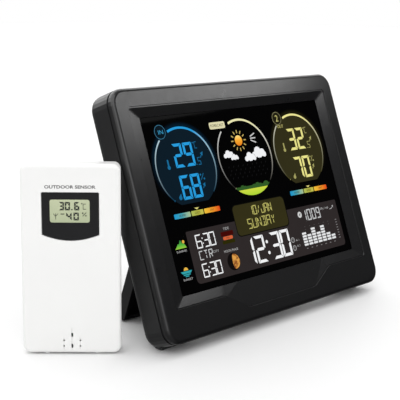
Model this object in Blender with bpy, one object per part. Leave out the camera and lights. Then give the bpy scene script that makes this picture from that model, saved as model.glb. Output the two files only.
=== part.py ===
"""Home weather station: a colour-display console on a fold-out leg, and its wireless outdoor sensor.

The console frame has x to the right, y into the depth from the front plane, and z up the face.
The sensor frame has x to the right, y into the depth from its front, and z up from its feet.
Lengths below are millimetres, and new_object turns each finished mesh into metres.
"""

import math

import bmesh
import bpy
from mathutils import Matrix, Vector

MM = 0.001
GAP = 0.3

# Console casing
WIDTH = 200.0
HEIGHT = 147.0
DEPTH = 22.0
CORNER = 9.5
FRONT_ROUND = 2.4
REAR_ROUND = 5.0
TILT = math.radians(20.0)
PARTING = 3.9
WALL = 2.0
ARC_STEPS = 6

# Front frame: the raised edge round the display, its touch-key scoop and the display opening
RIDGE_HALF = 90.0
RIDGE_TOP = 62.4
RIDGE_BOTTOM = -54.7
RIDGE_WALL = 0.2
RIDGE_DROP = 0.5
RIDGE_LEDGE = 0.7
SCOOP_DROP = 10.2
SCOOP_TOP_HALF = 50.0
SCOOP_FLOOR_HALF = 32.0
KNEE_REACH = 2.6
KNEE_STEPS = 3
OPENING_HALF = 81.0
OPENING_TOP = 55.8
OPENING_BOTTOM = -48.4
OPENING_DEPTH = 2.1
PLATE_REAR = 2.6
LIP_REAR = 2.5
POCKET_MARGIN = 2.3
POCKET_REAR = 7.9
RIB = 1.2
TONGUE_INSET = WALL + GAP
TONGUE_REAR = 6.2

# Display stack inside the pocket: first and last depth of each layer
LENS_SPAN = (2.8, 3.8)
GLASS_SPAN = (4.1, 5.7)
BACKLIGHT_SPAN = (6.0, 7.2)

# Rear cover
SCREW_PLACES = [(side * 88.0, height) for height in (64.0, 0.0, -62.0) for side in (-1, 1)]
BEZEL_BOSS = 3.2
COVER_BOSS = 4.2
BOSS_SPLIT = 9.0
GROOVE_DEEP = 0.5
GROOVE_WIDE = 0.9
DC_PLACE = (87.0, -30.0)
HEAD_SEAT = 12.6
KEY_COUNT = 7
KEY_PITCH = 18.0
KEY_HEIGHT = 64.0
BAY_HALF = 29.0
BAY_LOW = 17.5
BAY_HIGH = 53.5
BAY_FLOOR = 9.3
BAY_WALL = 1.0
DOOR_HALF = 31.6
DOOR_LOW = 15.2
DOOR_HIGH = 56.6
DOOR_SEAT = 20.0
CELL_RADIUS = 5.25
CELL_LENGTH = 44.5
CELL_DEPTH = 14.85
CELL_PITCH = 11.4
CELL_MIDDLE = 35.5

# Fold-out leg
LEG_HALF = 73.5
LEG_RECESS_HALF = LEG_HALF + 0.8
LEG_RECESS_FLOOR = 13.2
LEG_RECESS_TOP = 11.6
HINGE_DEPTH = 18.5
HINGE_HEIGHT = 7.8
LEG_OPEN = math.radians(40.0)
LEG_OUTER = DEPTH - HINGE_DEPTH
LEG_INNER = -4.1
LEG_SKIN = 2.0
PIN_RADIUS = 1.5
FOOT_PROUD = 0.8
PAD_BURIED = 1.4
PAD_WIDTH = 14.0
PAD_DEPTH = 6.0
PAD_SIDE = 86.0
LEG_PAD_SIDE = 62.0

# Wireless sensor
SENSOR_WIDTH = 54.5
SENSOR_HEIGHT = 107.0
SENSOR_DEPTH = 18.0
SENSOR_CORNER = 4.5
SENSOR_ROUND = 2.2
SENSOR_FEET = 0.6
SENSOR_PARTING = 8.0
SENSOR_WALL = 1.8
SENSOR_FRONT_WALL = 2.4
SENSOR_DRAFT = 0.05
SENSOR_YAW = math.radians(-45.0)
SENSOR_PLACE = (-132.5, 20.0)
WINDOW_HALF = 15.35
WINDOW_TOP = SENSOR_HEIGHT - 15.7
WINDOW_SIDE = 23.0
WINDOW_BOW = 3.3
SENSOR_LCD_HALF = 11.6
SENSOR_LCD_TOP = WINDOW_TOP - 3.1
SENSOR_LCD_TALL = 13.8
SENSOR_SCREWS = [(side * 21.0, height) for height in (7.5, 99.0) for side in (-1, 1)]
SENSOR_CELL_SIDE = 5.8
SENSOR_CELL_DEPTH = 11.0
SENSOR_BAY_HALF = 12.4
SENSOR_BAY_LOW = 6.0
SENSOR_BAY_HIGH = 56.0
SENSOR_SHELF_HIGH = 64.0


# ---------------------------------------------------------------- materials


def material(name, colour, roughness, metallic=0.0):
    """A plain Principled material."""
    made = bpy.data.materials.new(name)
    made.use_nodes = True
    shader = made.node_tree.nodes["Principled BSDF"]
    shader.inputs["Base Color"].default_value = (*colour, 1.0)
    shader.inputs["Roughness"].default_value = roughness
    shader.inputs["Metallic"].default_value = metallic
    made.diffuse_color = (*colour, 1.0)
    return made


def make_materials():
    """Every finish that the parts are made in."""
    return {
        "case": material("case", (0.035, 0.036, 0.040), 0.5),
        "glass": material("glass", (0.008, 0.008, 0.009), 0.08),
        "lcd": material("lcd", (0.10, 0.11, 0.12), 0.15),
        "diffuser": material("diffuser", (0.85, 0.86, 0.86), 0.4),
        "board": material("board", (0.03, 0.16, 0.08), 0.45),
        "flex": material("flex", (0.45, 0.22, 0.05), 0.4),
        "component": material("component", (0.02, 0.02, 0.02), 0.5),
        "contact": material("contact", (0.72, 0.70, 0.66), 0.3, 1.0),
        "cell": material("cell", (0.25, 0.27, 0.30), 0.35),
        "screw": material("screw", (0.50, 0.50, 0.52), 0.35, 1.0),
        "rubber": material("rubber", (0.02, 0.02, 0.02), 0.85),
        "white": material("white", (0.88, 0.88, 0.87), 0.4),
        "window": material("window", (0.012, 0.012, 0.013), 0.12),
        "segment": material("segment", (0.42, 0.50, 0.36), 0.25),
    }


# ---------------------------------------------------------------- outlines


def circle(centre_a, centre_b, radius, steps=12):
    """A round outline."""
    turns = [2 * math.pi * (i + 0.5) / steps for i in range(steps)]
    return [(centre_a + radius * math.cos(t), centre_b + radius * math.sin(t)) for t in turns]


def rectangle(low_a, high_a, low_b, high_b, radius=0.0, steps=3):
    """A rectangle from its limits, with round corners where a radius is given."""
    if radius <= 0.0:
        return [(low_a, low_b), (high_a, low_b), (high_a, high_b), (low_a, high_b)]
    middles = [
        (low_a + radius, low_b + radius, math.pi),
        (high_a - radius, low_b + radius, 1.5 * math.pi),
        (high_a - radius, high_b - radius, 0.0),
        (low_a + radius, high_b - radius, 0.5 * math.pi),
    ]
    points = []
    for a, b, first in middles:
        for i in range(steps + 1):
            turn = first + 0.5 * math.pi * i / steps
            points.append((a + radius * math.cos(turn), b + radius * math.sin(turn)))
    return points


def knee(before, point, after, reach):
    """A bend of the scoop, rounded between two points at a reach from it."""
    before, point, after = Vector(before), Vector(point), Vector(after)
    start = point + (before - point).normalized() * reach
    end = point + (after - point).normalized() * reach
    curve = []
    for i in range(KNEE_STEPS + 1):
        t = i / KNEE_STEPS
        curve.append(tuple(start * (1 - t) ** 2 + point * 2 * t * (1 - t) + end * t**2))
    return curve


def frame_outline(half, top, bottom, radius, drop=0.0):
    """One loop of the front frame, with the four bends of the scoop along its bottom side.

    Every loop has its points in the same order, so that two loops bridge without a twist.
    """
    corners = rectangle(-half, half, bottom, top, radius, ARC_STEPS)
    per_corner = ARC_STEPS + 1
    left = (-half, bottom)
    right = (half, bottom)
    bends = [
        (-SCOOP_TOP_HALF, bottom),
        (-SCOOP_FLOOR_HALF, bottom - drop),
        (SCOOP_FLOOR_HALF, bottom - drop),
        (SCOOP_TOP_HALF, bottom),
    ]
    path = [left, *bends, right]
    low_side = []
    for before, point, after in zip(path, path[1:], path[2:]):
        low_side += knee(before, point, after, KNEE_REACH)
    return corners[:per_corner] + low_side + corners[per_corner:]


def casing_outline(inset):
    """The casing's outline, moved inwards, in the front frame's point order."""
    half = WIDTH / 2 - inset
    tall = HEIGHT / 2 - inset
    return frame_outline(half, tall, -tall, CORNER - inset)


def cover_outline(inset):
    """The casing's outline, moved inwards, without the scoop's points."""
    half = WIDTH / 2 - inset
    tall = HEIGHT / 2 - inset
    return rectangle(-half, half, -tall, tall, CORNER - inset, ARC_STEPS)


def opening_outline(margin):
    """The display opening's outline, moved outwards by a margin."""
    radius = 1.0 + margin / 2
    return frame_outline(OPENING_HALF + margin, OPENING_TOP + margin, OPENING_BOTTOM - margin, radius)


def sensor_outline(inset):
    """The sensor's front outline, moved inwards."""
    half = SENSOR_WIDTH / 2 - inset
    low = SENSOR_FEET + inset
    high = SENSOR_HEIGHT - inset
    return rectangle(-half, half, low, high, max(SENSOR_CORNER - inset, 0.6), 5)


def lay(outline, place, axis="Y"):
    """Lays a flat outline across an axis, at a place along it."""
    if axis == "X":
        return [(place, a, b) for a, b in outline]
    if axis == "Y":
        return [(a, place, b) for a, b in outline]
    return [(a, b, place) for a, b in outline]


# ---------------------------------------------------------------- solids


def add_loft(bm, loops, ring=False):
    """Bridges matching loops into one closed body, with end caps or as a ring."""
    rows = [[bm.verts.new(point) for point in loop] for loop in loops]
    pairs = list(zip(rows, rows[1:]))
    if ring:
        pairs.append((rows[-1], rows[0]))
    else:
        bm.faces.new(rows[0])
        bm.faces.new(rows[-1])
    for first, second in pairs:
        for i in range(len(first)):
            j = (i + 1) % len(first)
            bm.faces.new((first[i], first[j], second[j], second[i]))


def add_prism(bm, outline, start, end, axis="Y"):
    """A straight body of one outline."""
    add_loft(bm, [lay(outline, start, axis), lay(outline, end, axis)])


def add_box(bm, x_span, y_span, z_span, radius=0.0):
    """A block between limits, with its corners round in the x-z plane where a radius is given."""
    add_prism(bm, rectangle(*x_span, *z_span, radius), *y_span)


def add_turned(bm, profile, centre=(0.0, 0.0), axis="X", steps=16):
    """A turned body from (place along the axis, radius) pairs."""
    add_loft(bm, [lay(circle(*centre, radius, steps), place, axis) for place, radius in profile])


def add_tube(bm, path, radius, sides=6):
    """A round wire along a list of points, its rings carried along without a twist."""
    points = [Vector(point) for point in path]
    normal = (points[1] - points[0]).orthogonal().normalized()
    loops = []
    for i, point in enumerate(points):
        along = (points[min(i + 1, len(points) - 1)] - points[max(i - 1, 0)]).normalized()
        normal = (normal - along * normal.dot(along)).normalized()
        across = along.cross(normal)
        ring = []
        for a, b in circle(0.0, 0.0, radius, sides):
            ring.append(tuple(point + normal * a + across * b))
        loops.append(ring)
    add_loft(bm, loops)


def new_object(name, bm, parent, finish=None, location=(0.0, 0.0, 0.0), smooth=None):
    """Makes a named object in metres from a mesh in millimetres, hung on its parent."""
    bmesh.ops.recalc_face_normals(bm, faces=bm.faces)
    mesh = bpy.data.meshes.new(name)
    bm.to_mesh(mesh)
    bm.free()
    mesh.transform(Matrix.Scale(MM, 4))
    made = bpy.data.objects.new(name, mesh)
    bpy.context.scene.collection.objects.link(made)
    made.parent = parent
    made.location = Vector(location) * MM
    if finish is not None:
        mesh.materials.append(finish)
    if smooth is not None:
        mesh.shade_smooth()
        mesh.set_sharp_from_angle(angle=math.radians(smooth))
    return made


def empty(name, parent=None, location=(0.0, 0.0, 0.0), turn=0.0, axis="X"):
    """A frame that parts hang on, turned about one axis."""
    made = bpy.data.objects.new(name, None)
    bpy.context.scene.collection.objects.link(made)
    made.parent = parent
    made.location = Vector(location) * MM
    made.rotation_euler["XYZ".index(axis)] = turn
    return made


def shape_with(target, name, bm, operation, parent=None):
    """Cuts a tool's bodies out of a part, or joins them to it."""
    tool = new_object(name, bm, parent or target.parent)
    tool.hide_render = True
    tool.display_type = "WIRE"
    modifier = target.modifiers.new(name, "BOOLEAN")
    modifier.object = tool
    modifier.operation = operation
    modifier.solver = "EXACT"
    modifier.use_self = True


def soften(target, width, segments=2):
    """Rounds a part's sharp edges."""
    modifier = target.modifiers.new("soft_edges", "BEVEL")
    modifier.width = width * MM
    modifier.segments = segments
    modifier.limit_method = "ANGLE"
    modifier.angle_limit = math.radians(40.0)


# ---------------------------------------------------------------- console: front


def rounding(radius, steps, outer_inset=0.0):
    """(inset, depth) pairs of a quarter round, from a casing's side to its face."""
    pairs = []
    for i in range(steps + 1):
        turn = 0.5 * math.pi * i / steps
        pairs.append((outer_inset + radius * (1 - math.cos(turn)), radius * (1 - math.sin(turn))))
    return pairs


def make_front_bezel(frame, finishes):
    """The front frame: round outer edge, raised line with the scoop, display pocket, tongue, bosses."""
    rim = PARTING - GAP
    loops = [lay(casing_outline(0.0), rim)]
    loops += [lay(casing_outline(inset), depth) for inset, depth in rounding(FRONT_ROUND, 4)]
    ridge = (RIDGE_HALF, RIDGE_TOP, RIDGE_BOTTOM)
    loops.append(lay(frame_outline(*ridge, 2.4, SCOOP_DROP), 0.0))
    for inset in (RIDGE_WALL, RIDGE_WALL + RIDGE_LEDGE):
        inside = (RIDGE_HALF - inset, RIDGE_TOP - inset, RIDGE_BOTTOM + inset)
        loops.append(lay(frame_outline(*inside, 2.4 - inset, SCOOP_DROP), RIDGE_DROP))
    loops.append(lay(opening_outline(0.0), OPENING_DEPTH))
    loops.append(lay(opening_outline(0.0), LIP_REAR))
    loops.append(lay(opening_outline(POCKET_MARGIN), LIP_REAR))
    loops.append(lay(opening_outline(POCKET_MARGIN), POCKET_REAR))
    loops.append(lay(opening_outline(POCKET_MARGIN + RIB), POCKET_REAR))
    loops.append(lay(opening_outline(POCKET_MARGIN + RIB), PLATE_REAR))
    loops.append(lay(casing_outline(TONGUE_INSET + RIB), PLATE_REAR))
    loops.append(lay(casing_outline(TONGUE_INSET + RIB), TONGUE_REAR))
    loops.append(lay(casing_outline(TONGUE_INSET), TONGUE_REAR))
    loops.append(lay(casing_outline(TONGUE_INSET), rim))
    bm = bmesh.new()
    add_loft(bm, loops, ring=True)
    bezel = new_object("front_bezel", bm, frame, finishes["case"], smooth=28)

    bosses = bmesh.new()
    for x, z in SCREW_PLACES:
        add_prism(bosses, circle(x, z, BEZEL_BOSS), 2.0, BOSS_SPLIT)
    shape_with(bezel, "bezel_bosses", bosses, "UNION")
    pilots = bmesh.new()
    for x, z in SCREW_PLACES:
        add_prism(pilots, circle(x, z, 1.7, 8), 3.6, BOSS_SPLIT + 1)
    add_box(pilots, (36.0, 64.0), (6.2, POCKET_REAR + 1), (OPENING_TOP, OPENING_TOP + 6.0))
    shape_with(bezel, "bezel_pilots_and_ribbon_notch", pilots, "DIFFERENCE")
    return bezel


def make_display_stack(frame, finishes):
    """The lens, the display glass with its contact ledge, and the backlight, one behind the other."""
    margin = POCKET_MARGIN - GAP
    for name, span, finish, short in (
        ("display_lens", LENS_SPAN, "glass", 0.0),
        ("lcd_glass", GLASS_SPAN, "lcd", 0.6),
        ("backlight_panel", BACKLIGHT_SPAN, "diffuser", 1.6),
    ):
        low = OPENING_BOTTOM - margin + short
        high = OPENING_TOP + margin - short
        half = OPENING_HALF + margin - short
        bm = bmesh.new()
        add_box(bm, (-half, half), span, (low, high), 1.2)
        new_object(name, bm, frame, finishes[finish])


def make_ribbon(frame, finishes):
    """The flat cable from the display's top edge over the backlight to the main board."""
    start = GLASS_SPAN[0] + 0.4
    rear = 8.5
    high = OPENING_TOP + POCKET_MARGIN - 0.6
    thick = 0.3
    low = 46.0
    profile = [
        (start, high - thick),
        (rear - thick, high - thick),
        (rear - thick, low),
        (rear, low),
        (rear, high),
        (start, high),
    ]
    bm = bmesh.new()
    add_prism(bm, profile, 38.0, 62.0, "X")
    new_object("lcd_ribbon", bm, frame, finishes["flex"])


def make_touch_electrode(frame, finishes):
    """The thin touch-key strip behind the scoop."""
    bm = bmesh.new()
    low = RIDGE_BOTTOM - SCOOP_DROP + 1.5
    high = OPENING_BOTTOM - POCKET_MARGIN - RIB - GAP
    add_box(bm, (-30.0, 30.0), (PLATE_REAR + GAP, PLATE_REAR + 1.1), (low, high), 1.0)
    new_object("touch_electrode", bm, frame, finishes["board"])


# ---------------------------------------------------------------- console: rear cover


def keyhole(bm, x, z, surface, deep=3.4):
    """A wall-hook keyhole: the head's entry, the neck's slot and the wider track behind it."""
    rise = 6.5
    floor = surface - deep
    add_prism(bm, circle(x, z, 4.0), floor, surface + 1)
    add_box(bm, (x - 1.9, x + 1.9), (floor, surface + 1), (z, z + rise))
    add_prism(bm, circle(x, z + rise, 1.9, 12), floor, surface + 1)
    add_box(bm, (x - 3.6, x + 3.6), (floor - 0.05, surface - 1.4), (z + 0.1, z + rise + 0.1), 0.0)
    add_prism(bm, circle(x, z + rise + 0.1, 3.6), floor - 0.05, surface - 1.4)


def cover_body():
    """The rear cover's bare shell: outer skin with a round rear edge, rim, and inner skin."""
    rim = PARTING + GAP - 0.05
    outer = [lay(cover_outline(GROOVE_DEEP), rim)]
    outer += [lay(cover_outline(inset), rim + GROOVE_WIDE) for inset in (GROOVE_DEEP, 0.0)]
    outer += [lay(cover_outline(i), DEPTH - d) for i, d in rounding(REAR_ROUND, 4)]
    inner_round = REAR_ROUND - WALL
    inner = [lay(cover_outline(WALL), rim)]
    inner += [lay(cover_outline(i), DEPTH - WALL - d) for i, d in rounding(inner_round, 2, WALL)]
    bm = bmesh.new()
    add_loft(bm, list(reversed(inner)) + outer)
    return bm


def make_rear_cover(frame, foot_frame, finishes):
    """The rear cover with its leg recess, battery bay, bosses and openings."""
    cover = new_object("rear_cover", cover_body(), frame, finishes["case"], smooth=28)
    root = DEPTH - 1.0
    solids = bmesh.new()
    half = LEG_RECESS_HALF + 1.6
    recess_bottom = -HEIGHT / 2 + 1.0
    add_box(solids, (-half, half), (LEG_RECESS_FLOOR - 2.0, root), (recess_bottom, LEG_RECESS_TOP + 1.8))
    bay = BAY_HALF + 1.2
    add_box(solids, (-bay, bay), (BAY_FLOOR - BAY_WALL, root - 0.2), (BAY_LOW - 1.2, BAY_HIGH + 1.2))
    seat = DOOR_HALF + 1.8
    add_box(solids, (-seat, seat), (DOOR_SEAT - 1.8, root - 0.1), (DOOR_LOW - 2.2, DOOR_HIGH + 1.8))
    for x, z in SCREW_PLACES:
        add_prism(solids, circle(x, z, COVER_BOSS), BOSS_SPLIT + GAP, root + 0.1)
    for side in (-1, 1):
        add_box(solids, (side * 62.0 - 6.5, side * 62.0 + 6.5), (17.2, root + 0.2), (28.0, 47.0), 2.0)
        pad_seat = (side * PAD_SIDE - 9.0, side * PAD_SIDE + 9.0)
        add_box(solids, pad_seat, (12.0, 19.8), (1.5 - HEIGHT / 2, 7.0 - HEIGHT / 2))
    shape_with(cover, "cover_walls_and_bosses", solids, "UNION")

    cuts = bmesh.new()
    beyond = DEPTH + 8.0
    below = -HEIGHT / 2 - 6.0
    recess = (-LEG_RECESS_HALF, LEG_RECESS_HALF)
    add_box(cuts, recess, (LEG_RECESS_FLOOR, beyond), (below, LEG_RECESS_TOP))
    add_box(cuts, (-BAY_HALF, BAY_HALF), (BAY_FLOOR, beyond + 1), (BAY_LOW, BAY_HIGH), 1.0)
    add_box(cuts, (-DOOR_HALF, DOOR_HALF), (DOOR_SEAT, beyond + 2), (DOOR_LOW, DOOR_HIGH), 2.3)
    add_prism(cuts, circle(0.0, DOOR_HIGH, 5.0), DEPTH - 1.4, beyond)
    for x, z in SCREW_PLACES:
        add_prism(cuts, circle(x, z, 1.7, 8), BOSS_SPLIT, HEAD_SEAT + 1)
        add_prism(cuts, circle(x, z, 3.0), HEAD_SEAT, beyond)
    reach = LEG_RECESS_HALF + 1.2
    add_prism(cuts, circle(HINGE_DEPTH, HINGE_HEIGHT, PIN_RADIUS + 0.32), -reach, reach, "X")
    for side in (-1, 1):
        keyhole(cuts, side * 62.0, 33.5, DEPTH)
    shape_with(cover, "cover_hollows", cuts, "DIFFERENCE")

    openings = bmesh.new()
    for x in key_places():
        add_box(openings, (x - 4.8, x + 4.8), (DEPTH - 6, beyond), (KEY_HEIGHT - 2.5, KEY_HEIGHT + 2.5), 1.7)
    for i in range(6):
        z = 22.0 + 3.6 * i
        add_box(openings, (81.0, 93.0), (DEPTH - 6, beyond), (z, z + 1.5))
    for x, z in [(0.0, 0.0), *circle(0.0, 0.0, 3.0, 6)]:
        add_prism(openings, circle(-86.0 + x, 31.0 + z, 0.7, 6), DEPTH - 6, beyond)
    add_prism(openings, circle(*DC_PLACE, 4.6, 16), DEPTH - 6, beyond)
    shape_with(cover, "cover_openings", openings, "DIFFERENCE")

    sockets = bmesh.new()
    for side in (-1, 1):
        x = side * PAD_SIDE
        wide = PAD_WIDTH / 2 + GAP
        deep = PAD_DEPTH / 2 + GAP
        add_prism(sockets, rectangle(x - wide, x + wide, -deep, deep), -4.0, PAD_BURIED + GAP, "Z")
    shape_with(cover, "foot_sockets", sockets, "DIFFERENCE", foot_frame)
    return cover


def key_places():
    """The middle of each rear key."""
    first = -KEY_PITCH * (KEY_COUNT - 1) / 2
    return [first + KEY_PITCH * i for i in range(KEY_COUNT)]


def make_keys(frame, finishes):
    """The rear keys: a stem that reaches the switch, a flange behind the wall, and a round-edged cap."""

    def tier(width, tall, radius, y):
        return lay(rectangle(-width / 2, width / 2, -tall / 2, tall / 2, radius, 2), y)

    for number, x in enumerate(key_places(), 1):
        bm = bmesh.new()
        loops = [
            tier(3.0, 3.0, 0.6, 14.9 - DEPTH),
            tier(3.0, 3.0, 0.6, -3.6),
            tier(11.0, 6.6, 1.8, -3.6),
            tier(11.0, 6.6, 1.8, -2.3),
            tier(9.0, 4.4, 1.4, -2.3),
            tier(9.0, 4.4, 1.4, 0.4),
            tier(8.2, 3.6, 1.2, 0.9),
        ]
        add_loft(bm, loops)
        new_object(f"key_{number}", bm, frame, finishes["case"], (x, DEPTH, KEY_HEIGHT), smooth=30)


def make_battery_door(frame, finishes):
    """The battery door, with grip ribs under its finger notch."""
    half = DOOR_HALF - GAP
    low = DOOR_LOW + GAP
    high = DOOR_HIGH - GAP
    door_frame = empty("battery_door_frame", frame, (0.0, DEPTH, (low + high) / 2))
    tall = (high - low) / 2
    bm = bmesh.new()
    add_box(bm, (-half, half), (DOOR_SEAT + GAP - DEPTH, 0.0), (-tall, tall), 2.0)
    door = new_object("battery_door", bm, door_frame, finishes["case"])
    ribs = bmesh.new()
    for i in range(4):
        z = tall - 7.0 - 2.2 * i
        add_box(ribs, (-7.0, 7.0), (-0.5, 0.45), (z - 0.5, z + 0.5), 0.4)
    shape_with(door, "door_grip", ribs, "UNION")


def make_cells(frame, finishes):
    """The console's three cells, lying across and turned end for end one after the other."""
    body = CELL_LENGTH / 2
    for number in range(1, 4):
        z = CELL_MIDDLE + CELL_PITCH * (2 - number)
        way = 1 if number % 2 else -1
        profile = [
            (-body, 4.4),
            (-body + 0.5, CELL_RADIUS),
            (body - 1.6, CELL_RADIUS),
            (body - 1.1, 4.4),
            (body - 1.1, 1.9),
            (body, 1.7),
        ]
        bm = bmesh.new()
        add_turned(bm, [(way * along, radius) for along, radius in profile])
        new_object(f"battery_{number}", bm, frame, finishes["cell"], (0.0, CELL_DEPTH, z), smooth=35)


def helix(start, direction, radius, rise, turns, steps=9):
    """Points of a coil spring that narrows a little as it leaves its plate, along x."""
    x, y, z = start
    path = []
    for i in range(int(turns * steps) + 1):
        share = i / (turns * steps)
        turn = 2 * math.pi * i / steps
        grip = radius * (1 - 0.35 * share)
        path.append((x + direction * rise * share, y + grip * math.cos(turn), z + grip * math.sin(turn)))
    return path


def make_contacts(frame, finishes):
    """The contact plates at both ends of the bay: a coil spring for each cell's flat end, else a dome."""
    for name, side in (("battery_contact_left", -1), ("battery_contact_right", 1)):
        outer = side * (BAY_HALF - GAP)
        inner = side * (BAY_HALF - GAP - 0.5)
        bm = bmesh.new()
        add_prism(bm, rectangle(10.6, 19.0, 18.4, 52.6, 1.2), inner, outer, "X")
        plate = new_object(name, bm, frame, finishes["contact"])
        springs = bmesh.new()
        for number in range(1, 4):
            z = CELL_MIDDLE + CELL_PITCH * (2 - number)
            flat_end = -1 if number % 2 else 1
            if side == flat_end:
                start = (side * (BAY_HALF - GAP - 0.3), CELL_DEPTH, z)
                add_tube(springs, helix(start, -side, 3.6, 5.0, 3), 0.4, 4)
            else:
                dome = [(inner + side * 0.2, 3.2), (inner - side * 4.0, 2.6), (inner - side * 4.6, 1.2)]
                add_turned(springs, dome, (CELL_DEPTH, z), steps=12)
        shape_with(plate, f"{name}_springs", springs, "UNION")


def make_boards(frame, finishes):
    """The main board with its chips and key switches, and the small boards in the side chambers."""
    bm = bmesh.new()
    notch = BAY_HALF + 2.6
    outline = [
        (-80.0, 17.0),
        (-notch, 17.0),
        (-notch, BAY_HIGH + 2.6),
        (notch, BAY_HIGH + 2.6),
        (notch, 17.0),
        (80.0, 17.0),
        (80.0, 69.0),
        (-80.0, 69.0),
    ]
    add_prism(bm, outline, 9.0, 10.6)
    board = new_object("main_board", bm, frame, finishes["board"])
    parts = bmesh.new()
    for x in key_places():
        add_box(parts, (x - 3.0, x + 3.0), (10.4, 13.0), (KEY_HEIGHT - 3.0, KEY_HEIGHT + 3.0))
        add_prism(parts, circle(x, KEY_HEIGHT, 1.6, 10), 12.8, 13.8)
    add_box(parts, (42.0, 58.0), (10.4, 11.8), (28.0, 44.0))
    add_box(parts, (-70.0, -58.0), (10.4, 12.2), (50.0, 56.0))
    add_box(parts, (38.0, 62.0), (10.4, 12.4), (19.0, 23.0))
    for x in (-45.0, -55.0, 68.0):
        add_prism(parts, circle(x, 24.0, 3.2, 12), 10.4, 15.6)
    shape_with(board, "board_parts", parts, "UNION")

    bm = bmesh.new()
    add_box(bm, (-94.0, -80.0), (12.0, 13.0), (-48.0, -14.0))
    receiver = new_object("receiver_board", bm, frame, finishes["board"])
    parts = bmesh.new()
    add_box(parts, (-91.0, -83.0), (12.8, 14.2), (-30.0, -20.0))
    coil = [(x, y, z) for z, x, y in helix((-46.0, -87.0, 15.6), 1, 2.0, 12.0, 5)]
    add_tube(parts, coil, 0.45, 4)
    add_box(parts, (-86.0, -84.4), (12.8, 15.6), (-46.6, -45.4))
    shape_with(receiver, "receiver_parts", parts, "UNION")

    bm = bmesh.new()
    add_box(bm, (82.5, 93.5), (15.4, 16.4), (22.0, 43.0))
    probe = new_object("climate_probe", bm, frame, finishes["board"])
    parts = bmesh.new()
    add_box(parts, (85.0, 91.0), (16.2, 18.6), (29.0, 36.0))
    shape_with(probe, "probe_cage", parts, "UNION")

    bm = bmesh.new()
    add_turned(bm, [(13.5, 5.6), (19.2, 5.6), (19.5, 5.3)], (-86.0, 31.0), "Y", 20)
    new_object("buzzer", bm, frame, finishes["component"], smooth=35)

    bm = bmesh.new()
    x, z = DC_PLACE
    add_loft(bm, [
        lay(circle(x, z, 4.9), 11.0),
        lay(circle(x, z, 4.9), 19.6),
        lay(circle(x, z, 4.3), 19.6),
        lay(circle(x, z, 4.3), 21.8),
        lay(circle(x, z, 2.8), 21.8),
        lay(circle(x, z, 2.8), 13.0),
        lay(circle(x, z, 0.7), 13.0),
        lay(circle(x, z, 0.7), 20.5),
    ])
    new_object("dc_socket", bm, frame, finishes["component"], smooth=35)


def make_screws(frame, finishes):
    """The six long case screws, heads down their counterbores."""
    for number, (x, z) in enumerate(SCREW_PLACES, 1):
        head = HEAD_SEAT + GAP
        profile = [(4.2, 0.5), (5.2, 1.25), (head, 1.25), (head, 2.6), (head + 1.2, 2.6), (head + 1.8, 1.8)]
        bm = bmesh.new()
        add_turned(bm, profile, axis="Y", steps=10)
        screw = new_object(f"rear_screw_{number}", bm, frame, finishes["screw"], (x, 0.0, z), smooth=35)
        cross = bmesh.new()
        add_box(cross, (-1.4, 1.4), (head + 0.8, head + 3), (-0.3, 0.3))
        add_box(cross, (-0.3, 0.3), (head + 0.8, head + 3.1), (-1.4, 1.4))
        tool_name = f"screw_cross_{number}"
        shape_with(screw, tool_name, cross, "DIFFERENCE")
        bpy.data.objects[tool_name].location = screw.location


# ---------------------------------------------------------------- console: leg and feet


def table_drop():
    """How far the table lies under the middle of the front face."""
    deep = (DEPTH - REAR_ROUND) * math.sin(TILT)
    tall = (HEIGHT / 2 - REAR_ROUND) * math.cos(TILT)
    return deep + tall + REAR_ROUND + FOOT_PROUD


def foot_place():
    """The point of the rear bottom edge that is nearest to the table, in the console frame."""
    y = DEPTH - REAR_ROUND + REAR_ROUND * math.sin(TILT)
    z = -HEIGHT / 2 + REAR_ROUND - REAR_ROUND * math.cos(TILT)
    return (0.0, y, z)


def leg_end(y, lean, reach):
    """The height in the leg's frame at which its end plane lies, for one depth."""
    return -(reach + y * math.sin(lean)) / math.cos(lean)


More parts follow.
